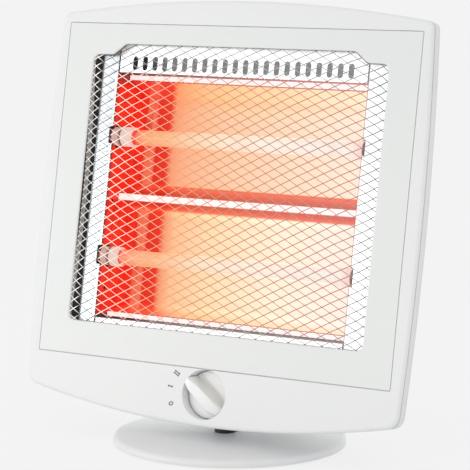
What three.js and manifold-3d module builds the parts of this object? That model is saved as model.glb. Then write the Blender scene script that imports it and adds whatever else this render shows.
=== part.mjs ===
// A small free-standing quartz heater: a white head with two glowing tubes in a polished
// trough reflector behind a wire guard, on a round weighted base with a tilting neck.
// Millimetres, +Z up, -Y is the front, and the origin is the middle of the base on the floor.
// Inside the head group X runs across the face, +Y runs back from the face and Z runs up it,
// and its origin is the middle of the window in the plane of the face.
import * as THREE from 'three';
import { mergeVertices } from 'three/addons/utils/BufferGeometryUtils.js';
import Module from 'manifold-3d';

const wasm = await Module();
wasm.setup();

// Shared clearances
const running_gap = 0.3;
const cut_overrun = 2;
const weld_tolerance = 0.001;

// Stance of the head on its neck
const head_lean_deg = 10.1;
const head_lean = THREE.MathUtils.degToRad(head_lean_deg);
const neck_y = -7;
const pivot_height = 35.3;
const pivot_depth = 32.6;

// Front panel and its opening, measured from the middle of the window
const panel_half_width = 150;
const panel_half_height = 127;
const panel_thickness = 1.2;
const opening_side_margin = 25;
const opening_bottom_margin = 26.5;
const opening_top_margin = 14.5;
const opening_shoulder_drop = 8.2;
const opening_step_reach = 16.5;
const opening_step_slope = 10.5;
const opening_corner_radius = 6;
const opening_half_width = panel_half_width - opening_side_margin;
const opening_bottom = panel_half_height - opening_bottom_margin;
const opening_top = panel_half_height - opening_top_margin;
const opening_shoulder = opening_top - opening_shoulder_drop;
const opening_step_outer_x = opening_half_width - opening_step_reach;
const opening_step_inner_x = opening_step_outer_x - opening_step_slope;
const panel_tab_width = 8;
const panel_tab_thickness = 1;
const panel_tab_length = 5;
const panel_tab_inset = 11;
const panel_tab_drop = 32;
const panel_tab_z = panel_half_height - panel_tab_drop;

// Casing outline round the panel
const casing_top_margin_x = 7;
const casing_top_margin_z = 7.5;
const casing_bottom_margin_x = 8;
const casing_bottom_margin_z = 25.5;
const casing_top_corner_x = panel_half_width + casing_top_margin_x;
const casing_top_corner_z = panel_half_height + casing_top_margin_z;
const casing_bottom_corner_x = panel_half_width + casing_bottom_margin_x;
const casing_bottom_corner_z = panel_half_height + casing_bottom_margin_z;
const casing_side_bow = 4.1;
const casing_top_bow = 12;
const casing_bottom_bow = 17.5;
const casing_top_corner_radius = 5;
const casing_bottom_corner_radius = 8;
const pivot_lift = 4.5;
const pivot_drop = casing_bottom_corner_z - pivot_lift;

// Front frame
const frame_thickness = 3;
const frame_window_margin = 3.5;
const frame_lip_width = 1.8;
const frame_lip_length = 6;
const panel_seam = 0.9;
const boss_radius = 4;

// Wire guard
const guard_wire = 1.2;
const guard_thickness = 0.9;
const guard_proud = 1;
const guard_cell_width = 32;
const guard_cell_height = 17.4;
const guard_overlap = 2.2;
const guard_rim_width = 3.2;
const guard_bend_width = 7;

// Sheet-metal chassis behind the opening
const sheet = 0.8;
const strip_depth = 7.4;
const chamber_side_inset = 18.7;
const chamber_top_inset = 21.7;
const chamber_bottom_inset = 2.8;
const strip_side_inset = 3.7;
const strip_top_overlap = 1.5;
const strip_bottom_overlap = 3.5;
const chamber_half_width = opening_half_width - chamber_side_inset;
const chamber_top = opening_top - chamber_top_inset;
const chamber_bottom = opening_bottom - chamber_bottom_inset;
const strip_outer_x = opening_half_width - strip_side_inset;
const strip_top = opening_top + strip_top_overlap;
const strip_bottom = opening_bottom + strip_bottom_overlap;
const chamber_depth = 66;
const wall_return_depth = 26;
const strip_flange_depth = 12;
const chassis_tab_reach = 9;
const chassis_tab_x = opening_half_width + chassis_tab_reach;
const chassis_tab_z = 80;
const chassis_tab_width = 12;
const seam = 0.3;

// Cooling slots in the strip over the chamber
const slot_count = 22;
const slot_row_inset = 13.9;
const slot_pitch = 2 * (chamber_half_width - slot_row_inset) / (slot_count - 1);
const slot_width = 4;
const slot_length = 11.6;
const slot_lift = 8.1;
const slot_middle_z = chamber_top + slot_lift;

// Trough reflector
const reflector_front_depth = 22.8;
const reflector_back_gap = 5;
const reflector_back_depth = chamber_depth - reflector_back_gap;
const reflector_top_gap = 0.7;
const reflector_bottom_gap = 2.2;
const upper_lip = 3.1;
const lower_lip = 2.5;
const reflector_top = chamber_top - reflector_top_gap;
const reflector_bottom = chamber_bottom - reflector_bottom_gap;
const trough_top = reflector_top - upper_lip;
const trough_bottom = reflector_bottom - lower_lip;
const ridge_top = -1.5;
const ridge_bottom = -6;
const trough_slope = 10.2;
const trough_bend = 5;
const reflector_flange = 7;

// Tubes, caps and clips
const tube_depth = 14.7;
const upper_tube_z = 41.8;
const lower_tube_z = -50.4;
const tube_radius = 5.9;
const tube_wall = 1;
const cap_radius = 7.5;
const cap_inner_length = 10.8;
const cap_outer_length = 3;
const cap_neck_length = 6.7;
const cap_floor = 5.8;
const cap_reach = chamber_half_width - cap_inner_length;
const cap_shoulder = chamber_half_width + cap_outer_length;
const cap_end = cap_shoulder + cap_neck_length;
const cap_bore_end = cap_shoulder - cap_floor;
const cap_neck_radius = 5;
const notch_width = 3.5;
const notch_height = 15.2;
const coil_radius = 3.4;
const pin_radius = 0.9;
const pin_reach = 2;
const pin_end = cap_end + pin_reach;
const clip_width = 4;
const clip_thickness = 0.8;
const clip_opening_deg = 80;
const clip_foot_length = 14;
const clip_foot_width = 8;

// Rear cover
const cover_gap = 0.8;
const cover_back_room = 10;
const cover_back_depth = chamber_depth + cover_back_room;
const cover_wall = 2.2;
const cover_side_room = 7.7;
const cover_side_inset = casing_bottom_corner_x - chamber_half_width - cover_side_room;
const cover_bottom_inset = 24;
const vent_length = 44;
const vent_height = 4;
const vent_pitch_x = 56;
const vent_pitch_z = 11;
const upper_vent_rows = 5;
const lower_vent_rows = 3;
const upper_vents_z = 50;
const lower_vents_z = -52;
const pillar_inset = 11;
const pillar_drop = 7;
const pillar_x = panel_half_width - pillar_inset;
const upper_pillar_z = panel_half_height - pillar_inset;
const lower_pillar_z = -panel_half_height - pillar_drop;
const pillar_radius = 5;
const pillar_front_depth = 8.3;
const pillar_seat_depth = 14;
const neck_slot_half_width = 10.5;
const neck_slot_front = 21;
const neck_slot_back = 53;
const gland_x = -60;
const gland_lift = 34.5;
const gland_z = gland_lift - casing_bottom_corner_z;
const gland_radius = 5.4;
const gland_bore_radius = 3.6;
const gland_flange_radius = 7.6;
const gland_flange = 1.8;
const gland_length = 8;

// Switch and knob
const knob_drop = 19.2;
const knob_z = -panel_half_height - knob_drop;
const recess_face_radius = 18.9;
const recess_floor_radius = 18.3;
const recess_depth = 10.5;
const recess_wall = 2;
const knob_radius = 17.3;
const knob_rim_depth = 8.2;
const knob_ridge_proud = 4;
const knob_ridge_end_radius = 15.6;
const knob_pointer_deg = 149;
const knob_seat_gap = 0.5;
const shaft_radius = 3;
const cup_bore_radius = 4.5;
const shaft_reach = 8;
const switch_width = 22;
const switch_height = 20;
const switch_length = 10;

// Screws
const screw_shank_radius = 1.4;
const screw_head_radius = 3;
const screw_head_height = 1.8;
const screw_length = 9;

// Tilting bracket on the neck
const knuckle_radius = 6.5;
const knuckle_half_width = 5;
const washer_thickness = 1.2;
const washer_radius = 6.3;
const ear_thickness = 1.5;
const ear_radius = 7.5;
const bracket_rise = 11;
const bracket_half_width = 26;
const bracket_screw_x = 20;
const bracket_screw_length = 14;
const pivot_pin_radius = 2.5;
const pivot_pin_head_radius = 4.5;
const pivot_pin_head = 2.8;
const pivot_pin_tail = 1.2;

// Parts on the rear cover's inner face
const terminal_block_size = [34, 12, 14];
const terminal_block_x = -27;
const terminal_block_lift = 33.5;
const terminal_block_z = terminal_block_lift - casing_bottom_corner_z;
const tip_switch_size = [24, 16, 26];
const tip_switch_x = 52;
const tip_switch_lift = 31.5;
const tip_switch_z = tip_switch_lift - casing_bottom_corner_z;
const cutout_radius = 8;
const cutout_height = 7;
const cutout_flange = 1;
const cutout_ear_half_width = 12;

// Leads
const lead_radius = 1.2;
const lead_bow = 7;
const lead_sides = 6;
const lead_shelf_share = 1.3;
const switch_lead_depth_share = 0.6;
const switch_lead_rise_share = 0.3;
const lead_steps = 14;

// Base and neck
const base_radius = 88;
const base_rim_low = 0.9;
const base_rim_top = 4;
const base_edge_width = 3.5;
const base_edge_inset_share = 0.4;
const base_edge_rise_share = 0.75;
const base_shoulder_radius = base_radius - base_edge_width;
const base_shoulder_height = 6.4;
const base_dome_height = 9;
const base_wall = 2;
const base_boss_roof = 1.5;
const plate_margin = 8;
const plate_radius = base_radius - plate_margin;
const plate_low = 1.8;
const plate_thickness = 2.2;
const foot_radius = 6;
const foot_inset = 22;
const foot_circle_radius = base_radius - foot_inset;
const foot_count = 4;
const base_screw_inset = 38;
const base_screw_circle_radius = base_radius - base_screw_inset;
const base_screw_count = 3;
const base_screw_head = 1.1;
const neck_radius = 8;
const neck_collar_top = 22;
const neck_screw_radius = 2.9;
const neck_screw_head_radius = 7;
const neck_screw_top = 19;

// Finishes: colour, roughness, metalness
const white_paint = [0xf1f1ef, 0.32, 0];
const panel_white = [0xeef1ee, 0.35, 0];
const knob_white = [0xf3f3f1, 0.28, 0];
const black_plastic = [0x161616, 0.5, 0];
const bright_wire = [0xc9c9c7, 0.3, 1];
const polished_sheet = [0xe6e6e4, 0.12, 1];
const zinc_steel = [0xb4b5b3, 0.4, 1];
const quartz = [0xf4ede2, 0.1, 0];
const resistance_wire = [0xb06038, 0.5, 1];
const ceramic = [0xefe9df, 0.6, 0];
const rubber = [0x2a2a2b, 0.85, 0];
const insulation = [0xe8e2d2, 0.7, 0];

// Curve steps of round stretches
const round_steps = 14;
const fine_steps = 48;
const small_steps = 8;
const outline_steps = 6;
const corner_steps = 4;

const TURN = Math.PI * 2;
const QUARTER = Math.PI / 2;

function finish([color, roughness, metalness]) {
  return new THREE.MeshStandardMaterial({ color, roughness, metalness });
}

function piece(parent, name, geometry, look) {
  const mesh = new THREE.Mesh(geometry, finish(look));
  mesh.name = name;
  parent.add(mesh);
  return mesh;
}

// A closed geometry as a solid: position only, shared corners merged, no collapsed triangles
function toSolid(geometry) {
  const bare = new THREE.BufferGeometry();
  bare.setAttribute('position', geometry.getAttribute('position').clone());
  if (geometry.index) bare.setIndex(geometry.index.clone());
  const merged = mergeVertices(bare, weld_tolerance);
  const corners = merged.index.array;
  const kept = [];
  for (let at = 0; at < corners.length; at += 3) {
    const [a, b, c] = corners.slice(at, at + 3);
    if (a !== b && b !== c && c !== a) kept.push(a, b, c);
  }
  return new wasm.Manifold(new wasm.Mesh({
    numProp: 3,
    vertProperties: merged.getAttribute('position').array,
    triVerts: new Uint32Array(kept),
  }));
}

function toGeometry(solid) {
  const mesh = solid.getMesh();
  const geometry = new THREE.BufferGeometry();
  geometry.setAttribute('position', new THREE.Float32BufferAttribute(mesh.vertProperties, 3));
  geometry.setIndex(new THREE.Uint32BufferAttribute(mesh.triVerts, 1));
  geometry.computeVertexNormals();
  return geometry;
}

const join = (first, ...others) =>
  toGeometry(others.reduce((whole, other) => whole.add(toSolid(other)), toSolid(first)));
const cut = (first, ...tools) =>
  toGeometry(tools.reduce((whole, tool) => whole.subtract(toSolid(tool)), toSolid(first)));
const common = (first, second) => toGeometry(toSolid(first).intersect(toSolid(second)));

// A flat shape drawn across X and up Z, thickened backwards along Y from the depth front
function plate(shape, front, thickness, curveSegments = corner_steps) {
  const geometry = new THREE.ExtrudeGeometry(shape, { depth: thickness, bevelEnabled: false, curveSegments });
  return geometry.rotateX(QUARTER).translate(0, front + thickness, 0);
}

// A section drawn back along Y and up Z, run along X from left
function bar(shape, left, length, curveSegments = corner_steps) {
  const geometry = new THREE.ExtrudeGeometry(shape, { depth: length, bevelEnabled: false, curveSegments });
  return geometry.rotateX(QUARTER).rotateZ(QUARTER).translate(left, 0, 0);
}

// A plan drawn in X and Y, run up Z from bottom
function upright(shape, bottom, height, curveSegments = corner_steps) {
  const geometry = new THREE.ExtrudeGeometry(shape, { depth: height, bevelEnabled: false, curveSegments });
  return geometry.translate(0, 0, bottom);
}

// A turned profile of [radius, place along the axis] pairs, anticlockwise, on the axis Y
function turned(profile, steps = round_steps) {
  return new THREE.LatheGeometry(profile.map(([r, along]) => new THREE.Vector2(r, along)), steps);
}
const turnedAlongX = (profile, steps) => turned(profile, steps).rotateZ(-QUARTER);
const turnedAlongZ = (profile, steps) => turned(profile, steps).rotateX(QUARTER);

const rod = (radius, from, to) => [[0, from], [radius, from], [radius, to], [0, to]];
const ring = (bore, radius, from, to) => [[bore, from], [radius, from], [radius, to], [bore, to], [bore, from]];

const rectangle = (left, right, low, high) => new THREE.Shape([
  new THREE.Vector2(left, low), new THREE.Vector2(right, low),
  new THREE.Vector2(right, high), new THREE.Vector2(left, high),
]);

function disc(x, y, radius) {
  return new THREE.Shape().absarc(x, y, radius, 0, TURN, false);
}

// A slot with round ends, lying along X or standing along Y
function roundSlot(x, y, width, height) {
  const radius = Math.min(width, height) / 2;
  const reach_x = width / 2 - radius;
  const reach_y = height / 2 - radius;
  const shape = new THREE.Shape();
  if (width > height) {
    shape.absarc(x + reach_x, y, radius, -QUARTER, QUARTER, false);
    shape.absarc(x - reach_x, y, radius, QUARTER, QUARTER + Math.PI, false);
  } else {
    shape.absarc(x, y + reach_y, radius, 0, Math.PI, false);
    shape.absarc(x, y - reach_y, radius, Math.PI, TURN, false);
  }
  return shape;
}

// The section of bent sheet: the line of its visible face, thickened to the right of its run
function bentSheet(line, thickness) {
  const points = line.map(([x, y]) => new THREE.Vector2(x, y));
  const rights = points.slice(1).map((point, at) => {
    const run = point.clone().sub(points[at]).normalize();
    return new THREE.Vector2(run.y, -run.x);
  });
  const back = points.map((point, at) => {
    const before = rights[Math.max(at - 1, 0)];
    const after = rights[Math.min(at, rights.length - 1)];
    const mitre = before.clone().add(after).normalize();
    return point.clone().addScaledVector(mitre, thickness / mitre.dot(before));
  });
  return new THREE.Shape([...points, ...back.reverse()].reverse());
}

// A polygon with each corner rounded by its own radius
function roundedPolygon(corners) {
  const shape = new THREE.Shape();
  corners.forEach(([x, y, radius], at) => {
    const corner = new THREE.Vector2(x, y);
    const before = new THREE.Vector2(...corners.at(at - 1));
    const after = new THREE.Vector2(...corners[(at + 1) % corners.length]);
    const start = before.sub(corner).setLength(radius).add(corner);
    const end = after.sub(corner).setLength(radius).add(corner);
    if (at === 0) shape.moveTo(start.x, start.y);
    else shape.lineTo(start.x, start.y);
    if (radius > 0) shape.quadraticCurveTo(corner.x, corner.y, end.x, end.y);
  });
  return shape;
}

// The bowed outline of the casing, drawn in by an inset on its sides and top and another below
function casingOutline(inset = 0, low_inset = inset) {
  const top_x = casing_top_corner_x - inset;
  const top_z = casing_top_corner_z - inset;
  const low_x = casing_bottom_corner_x - inset;
  const low_z = casing_bottom_corner_z - low_inset;
  const corners = [
    new THREE.Vector2(low_x, -low_z), new THREE.Vector2(top_x, top_z),
    new THREE.Vector2(-top_x, top_z), new THREE.Vector2(-low_x, -low_z),
  ];
  const bows = [casing_side_bow, casing_top_bow, casing_side_bow, casing_bottom_bow];
  const radii = [casing_top_corner_radius, casing_top_corner_radius,
    casing_bottom_corner_radius, casing_bottom_corner_radius].map((radius) => radius + inset / 2);
  const sides = corners.map((from, at) => {
    const to = corners[(at + 1) % corners.length];
    const run = to.clone().sub(from).normalize();
    const middle = from.clone().lerp(to, 0.5);
    const control = middle.addScaledVector(new THREE.Vector2(run.y, -run.x), bows[at] * 2);
    return new THREE.QuadraticBezierCurve(from, control, to);
  });
  const trims = sides.map((side, at) => [radii.at(at - 1) / side.getLength(), radii[at] / side.getLength()]);
  const points = [];
  sides.forEach((side, at) => {
    const next = (at + 1) % sides.length;
    const [start, stop] = trims[at];
    for (let step = 0; step <= outline_steps; step++) {
      points.push(side.getPoint(THREE.MathUtils.lerp(start, 1 - stop, step / outline_steps)));
    }
    const corner = new THREE.QuadraticBezierCurve(
      points.at(-1), corners[next], sides[next].getPoint(trims[next][0]));
    for (let step = 1; step < corner_steps; step++) points.push(corner.getPoint(step / corner_steps));
  });
  return points;
}

// A closed skin through outlines [depth, points], front to back, flat at both ends
function loft(sections) {
  const positions = sections.flatMap(([depth, points]) => points.flatMap(({ x, y }) => [x, depth, y]));
  const count = sections[0][1].length;
  const corners = [];
  for (let row = 0; row + 1 < sections.length; row++) {
    for (let at = 0; at < count; at++) {
      const a = row * count + at;
      const b = row * count + (at + 1) % count;
      corners.push(a, a + count, b, b, a + count, b + count);
    }
  }
  const last = (sections.length - 1) * count;
  const front_cap = THREE.ShapeUtils.triangulateShape(sections[0][1], []);
  const back_cap = THREE.ShapeUtils.triangulateShape(sections.at(-1)[1], []);
  front_cap.forEach(([a, b, c]) => corners.push(a, b, c));
  back_cap.forEach(([a, b, c]) => corners.push(last + a, last + c, last + b));
  const geometry = new THREE.BufferGeometry();
  geometry.setAttribute('position', new THREE.Float32BufferAttribute(positions, 3));
  geometry.setIndex(corners);
  return geometry;
}

// The opening in the front panel, widened all round by a margin
function openingShape(margin = 0) {
  const side = opening_half_width + margin;
  const shoulder = opening_shoulder + margin;
  return roundedPolygon([
    [-side, -opening_bottom - margin, opening_corner_radius],
    [side, -opening_bottom - margin, opening_corner_radius],
    [side, shoulder, opening_corner_radius],
    [opening_step_outer_x + margin / 2, shoulder, 0],
    [opening_step_inner_x + margin / 2, opening_top + margin, 0],
    [-opening_step_inner_x - margin / 2, opening_top + margin, 0],
    [-opening_step_outer_x - margin / 2, shoulder, 0],
    [-side, shoulder, opening_corner_radius],
  ]);
}

// Sizes that follow from the ones above
const panel_recess = panel_thickness + running_gap;
const frame_window_half_width = opening_half_width + frame_window_margin;
const recess_back = recess_depth + recess_wall;
const cover_front = frame_thickness + cover_gap;
const tab_depth = strip_flange_depth;
const boss_end = tab_depth - running_gap;
const back_face = cover_back_depth - cover_wall - running_gap;
const pivot_hole_radius = pivot_pin_radius + running_gap;
const screw_hole_radius = screw_shank_radius + running_gap;
const screw_head_hole_radius = screw_head_radius + running_gap * 2;
const washer_inner_x = knuckle_half_width + running_gap;
const ear_inner_x = washer_inner_x + washer_thickness + running_gap;
const ear_outer_x = ear_inner_x + ear_thickness;
const bracket_level = -pivot_drop + bracket_rise;
const panel_tab_x = panel_half_width - panel_tab_inset;

// Front frame: bowed bezel with a recess for the panel, a window and the knob's cup
function frontFrame() {
  const outer = new THREE.Shape(casingOutline());
  const lip_ring = new THREE.Shape(casingOutline(cover_wall + running_gap * 2));
  lip_ring.holes.push(new THREE.Shape(casingOutline(cover_wall + running_gap * 2 + frame_lip_width)));
  const cup = turned([
    [cup_bore_radius, recess_depth], [recess_floor_radius, recess_depth], [recess_face_radius, 0],
    [recess_face_radius + recess_wall, 0], [recess_floor_radius + recess_wall, recess_back],
    [cup_bore_radius, recess_back], [cup_bore_radius, recess_depth],
  ], fine_steps / 2).translate(0, 0, knob_z);
  const bosses = [-1, 1].flatMap((side) => [-1, 1].map((level) =>
    turned(rod(boss_radius, frame_thickness - panel_recess / 2, boss_end))
      .translate(side * chassis_tab_x, 0, level * chassis_tab_z)));
  const cover_bosses = coverScrewPlaces().map(([x, z]) =>
    turned(rod(boss_radius, frame_thickness - panel_recess / 2, pillar_front_depth - running_gap))
      .translate(x, 0, z));
  const screw_holes = [-1, 1].flatMap((side) => [-1, 1].map((level) =>
    turned(rod(screw_hole_radius, frame_thickness, boss_end + cut_overrun), small_steps)
      .translate(side * chassis_tab_x, 0, level * chassis_tab_z)));
  const cover_holes = coverScrewPlaces().map(([x, z]) =>
    turned(rod(screw_hole_radius, frame_thickness, pillar_front_depth + cut_overrun), small_steps)
      .translate(x, 0, z));
  const recess = plate(rectangle(-panel_half_width - panel_seam, panel_half_width + panel_seam,
    -panel_half_height - panel_seam, panel_half_height + panel_seam), -cut_overrun, panel_recess + cut_overrun);
  const window_cut = plate(rectangle(-frame_window_half_width, frame_window_half_width,
    -opening_bottom - frame_window_margin, opening_top + frame_window_margin),
  -cut_overrun, frame_thickness + 2 * cut_overrun);
  const knob_cut = turned(rod(recess_face_radius + recess_wall / 2, -cut_overrun, frame_thickness + cut_overrun),
    fine_steps / 2).translate(0, 0, knob_z);
  const tab_slots = panelTabPlaces().map(([x, z]) => plate(rectangle(
    x - panel_tab_thickness / 2 - 2 * running_gap, x + panel_tab_thickness / 2 + 2 * running_gap,
    z - panel_tab_width / 2 - 2 * running_gap, z + panel_tab_width / 2 + 2 * running_gap),
  -cut_overrun, frame_thickness + 2 * cut_overrun));
  const lip = plate(lip_ring, frame_thickness - panel_recess / 2, frame_lip_length + panel_recess / 2);
  const bezel = cut(plate(outer, 0, frame_thickness), knob_cut);
  const blank = join(bezel, lip, cup, ...bosses, ...cover_bosses);
  return cut(blank, recess, window_cut, ...tab_slots, ...screw_holes, ...cover_holes);
}

function coverScrewPlaces() {
  return [[-pillar_x, lower_pillar_z], [pillar_x, lower_pillar_z],
    [-pillar_x, upper_pillar_z], [pillar_x, upper_pillar_z]];
}

function panelTabPlaces() {
  return [[-panel_tab_x, -panel_tab_z], [panel_tab_x, -panel_tab_z],
    [-panel_tab_x, panel_tab_z], [panel_tab_x, panel_tab_z]];
}

// Front panel: a thin sheet with the stepped opening and four tabs bent back through the frame
function frontPanel() {
  const face = rectangle(-panel_half_width, panel_half_width, -panel_half_height, panel_half_height);
  face.holes.push(openingShape());
  const tabs = panelTabPlaces().map(([x, z]) => plate(rectangle(
    x - panel_tab_thickness / 2, x + panel_tab_thickness / 2, z - panel_tab_width / 2, z + panel_tab_width / 2),
  panel_thickness / 2, panel_tab_length + panel_thickness / 2));
  return join(plate(face, 0, panel_thickness), ...tabs);
}

// Wire guard: a diamond net, flat before the opening and bent back behind the panel all round
function meshGuard() {
  const columns = Math.ceil(opening_half_width / guard_cell_width) + 1;
  const rows = Math.ceil(opening_top / guard_cell_height) + 1;
  const half_width = (guard_cell_width - guard_wire * Math.hypot(guard_cell_width, guard_cell_height)
    / guard_cell_height) / 2;
  const half_height = half_width * guard_cell_height / guard_cell_width;
  const diamond = (x, z) => new THREE.Shape([
    new THREE.Vector2(x - half_width, z), new THREE.Vector2(x, z - half_height),
    new THREE.Vector2(x + half_width, z), new THREE.Vector2(x, z + half_height),
  ]);
  const diamonds = [];
  for (let column = -2 * columns; column <= 2 * columns; column++) {
    for (let row = -2 * rows; row <= 2 * rows; row++) {
      if ((column + row) % 2 !== 0) continue;
      diamonds.push(diamond(column * guard_cell_width / 2, row * guard_cell_height / 2));
    }
  }
  const net_area = plate(openingShape(guard_overlap - guard_rim_width), -cut_overrun, guard_thickness + 2 * cut_overrun);
  const gaps = common(net_area, plate(diamonds, -cut_overrun, guard_thickness + 2 * cut_overrun));
  const net = cut(plate(openingShape(guard_overlap), 0, guard_thickness), gaps);
  const places = net.getAttribute('position');
  const behind = panel_thickness + running_gap;
  const edge = openingShape(guard_overlap).getPoints(corner_steps);
  for (let at = 0; at < places.count; at++) {
    const to_edge = distanceToOutline(edge, new THREE.Vector2(places.getX(at), places.getZ(at)));
    const bend = THREE.MathUtils.smoothstep(to_edge, guard_rim_width, guard_rim_width + guard_bend_width);
    places.setY(at, places.getY(at) + THREE.MathUtils.lerp(behind, -guard_proud, bend));
  }
  return net;
}

function distanceToOutline(outline, point) {
  const distances = outline.map((from, at) => {
    const run = outline[(at + 1) % outline.length].clone().sub(from);
    const out = point.clone().sub(from);
    const share = THREE.MathUtils.clamp(out.dot(run) / Math.max(run.lengthSq(), weld_tolerance), 0, 1);
    return out.addScaledVector(run, -share).length();
  });
  return Math.min(...distances);
}

// End plate of the chamber on the +X side: front strip, end wall, slots for the caps, two tabs
function endPlate() {
  const line = [[strip_outer_x, strip_flange_depth], [strip_outer_x, strip_depth],
    [chamber_half_width, strip_depth], [chamber_half_width, chamber_depth]];
  const folded = upright(bentSheet(line, sheet), -strip_bottom, strip_bottom + opening_shoulder + guard_overlap);
  const tabs = [-1, 1].map((level) => join(
    plate(rectangle(strip_outer_x - sheet / 2, chassis_tab_x + boss_radius,
      level * chassis_tab_z - chassis_tab_width / 2, level * chassis_tab_z + chassis_tab_width / 2),
    tab_depth, sheet),
    plate(rectangle(strip_outer_x - sheet, strip_outer_x, level * chassis_tab_z - chassis_tab_width / 2,
      level * chassis_tab_z + chassis_tab_width / 2), tab_depth - sheet, 2 * sheet)));
  const notches = [upper_tube_z, lower_tube_z].flatMap((z) => [
    turnedAlongX(rod(notch_height / 2, chamber_half_width - cut_overrun, chamber_half_width + cut_overrun))
      .translate(0, tube_depth, z),
    plate(rectangle(chamber_half_width - cut_overrun, chamber_half_width + notch_width,
      z - notch_height / 2, z + notch_height / 2), strip_depth - cut_overrun, tube_depth - strip_depth + cut_overrun),
  ]);
  const screw_holes = [-1, 1].map((level) =>
    turned(rod(screw_hole_radius, tab_depth - cut_overrun, tab_depth + cut_overrun), small_steps)
      .translate(chassis_tab_x, 0, level * chassis_tab_z));
  const relief = plate(rectangle(chamber_half_width - cut_overrun, chamber_half_width + cut_overrun,
    chamber_top + 2 * sheet, strip_top), wall_return_depth, chamber_depth);
  return cut(join(folded, ...tabs), ...notches, ...screw_holes, relief);
}

// Strip over the chamber with its row of round-ended cooling slots
function ventStrip() {
  const half_width = chamber_half_width - seam;
  const folded = bar(bentSheet([[strip_depth, strip_top], [strip_depth, chamber_top],
    [wall_return_depth, chamber_top]], -sheet), -half_width, 2 * half_width);
  const slots = [];
  for (let at = 0; at < slot_count; at++) {
    slots.push(roundSlot((at - (slot_count - 1) / 2) * slot_pitch, slot_middle_z, slot_width, slot_length));
  }
  return cut(folded, plate(slots, strip_depth - cut_overrun, 2 * cut_overrun, 2));
}

function bottomStrip() {
  const half_width = chamber_half_width - seam;
  return bar(bentSheet([[strip_depth, -strip_bottom], [strip_depth, -chamber_bottom],
    [wall_return_depth, -chamber_bottom]], sheet), -half_width, 2 * half_width);
}

// Reflector: one polished sheet bent into two troughs with a ridge between them
function reflector() {
  const trough = (high, low) => [
    [reflector_front_depth, high],
    [reflector_back_depth - trough_bend, high - trough_slope + trough_bend / 4],
    [reflector_back_depth - trough_bend / 4, high - trough_slope - trough_bend / 4],
    [reflector_back_depth, high - trough_slope - trough_bend],
    [reflector_back_depth, low + trough_slope + trough_bend],
    [reflector_back_depth - trough_bend / 4, low + trough_slope + trough_bend / 4],
    [reflector_back_depth - trough_bend, low + trough_slope - trough_bend / 4],
    [reflector_front_depth, low],
  ];
  const line = [
    [reflector_front_depth + reflector_flange, reflector_top], [reflector_front_depth, reflector_top],
    ...trough(trough_top, ridge_top), ...trough(ridge_bottom, -trough_bottom),
    [reflector_front_depth, -reflector_bottom], [reflector_front_depth + reflector_flange, -reflector_bottom],
  ];
  const half_width = chamber_half_width - seam;
  return bar(bentSheet(line, -sheet), -half_width, 2 * half_width);
}

function quartzTube() {
  const half_length = cap_bore_end - 2 * running_gap;
  return turnedAlongX(ring(tube_radius - tube_wall, tube_radius, -half_length, half_length));
}

// Heating coil inside a tube, drawn as a plain rod with a terminal pin at each end
function heatingCoil() {
  const half_length = cap_bore_end - 4 * running_gap;
  return turnedAlongX([[0, -pin_end], [pin_radius, -pin_end], [pin_radius, -half_length],
    [coil_radius, -half_length], [coil_radius, half_length], [pin_radius, half_length],
    [pin_radius, pin_end], [0, pin_end]], round_steps / 2);
}

function tubeCap() {
  const bore = tube_radius + running_gap;
  const pin_hole = pin_radius + running_gap;
  return turnedAlongX([[bore, cap_reach], [cap_radius, cap_reach], [cap_radius, cap_shoulder],
    [cap_neck_radius, cap_shoulder], [cap_neck_radius, cap_end], [pin_hole, cap_end],
    [pin_hole, cap_bore_end], [bore, cap_bore_end], [bore, cap_reach]]);
}

// Spring clip: an open ring round the cap's neck with a foot along the end wall
function tubeClip() {
  const inner = cap_neck_radius + running_gap;
  const outer = inner + clip_thickness;
  const half_gap = THREE.MathUtils.degToRad(clip_opening_deg / 2);
  const start = Math.PI + half_gap;
  const end = Math.PI - half_gap;
  const open_ring = new THREE.Shape();
  open_ring.absarc(0, 0, outer, start, end + TURN, false);
  open_ring.absarc(0, 0, inner, end + TURN, start, true);
  const clip_left = cap_end - clip_width - running_gap;
  const foot_x = chamber_half_width + sheet + running_gap;
  const foot_depth = inner + clip_thickness / 2;
  const foot = upright(bentSheet([[clip_left + clip_width, foot_depth], [clip_left, foot_depth],
    [foot_x, foot_depth + clip_thickness * 4], [foot_x, foot_depth + clip_foot_length]], clip_thickness),
  -clip_foot_width / 2, clip_foot_width);
  return join(bar(open_ring, clip_left, clip_width, round_steps / 2), foot);
}

// Rear cover: a tapering shell with cooling slots, four screw pillars and two bracket bosses
function coverSections(inset, back_depth) {
  const depth_shares = [0, 0.107, 0.15, 0.2, 0.28, 0.78, 0.92, 0.985, 1];
  const side_inset_shares = [0, 0, 0.03, 0.09, 0.19, 0.62, 0.77, 0.88, 1];
  const low_inset_shares = [0, 0, 0.02, 0.05, 0.12, 0.3, 0.5, 0.75, 1];
  return depth_shares.map((share, at) => [
    THREE.MathUtils.lerp(cover_front, back_depth, share),
    casingOutline(inset + side_inset_shares[at] * cover_side_inset, inset + low_inset_shares[at] * cover_bottom_inset),
  ]);
}

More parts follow.
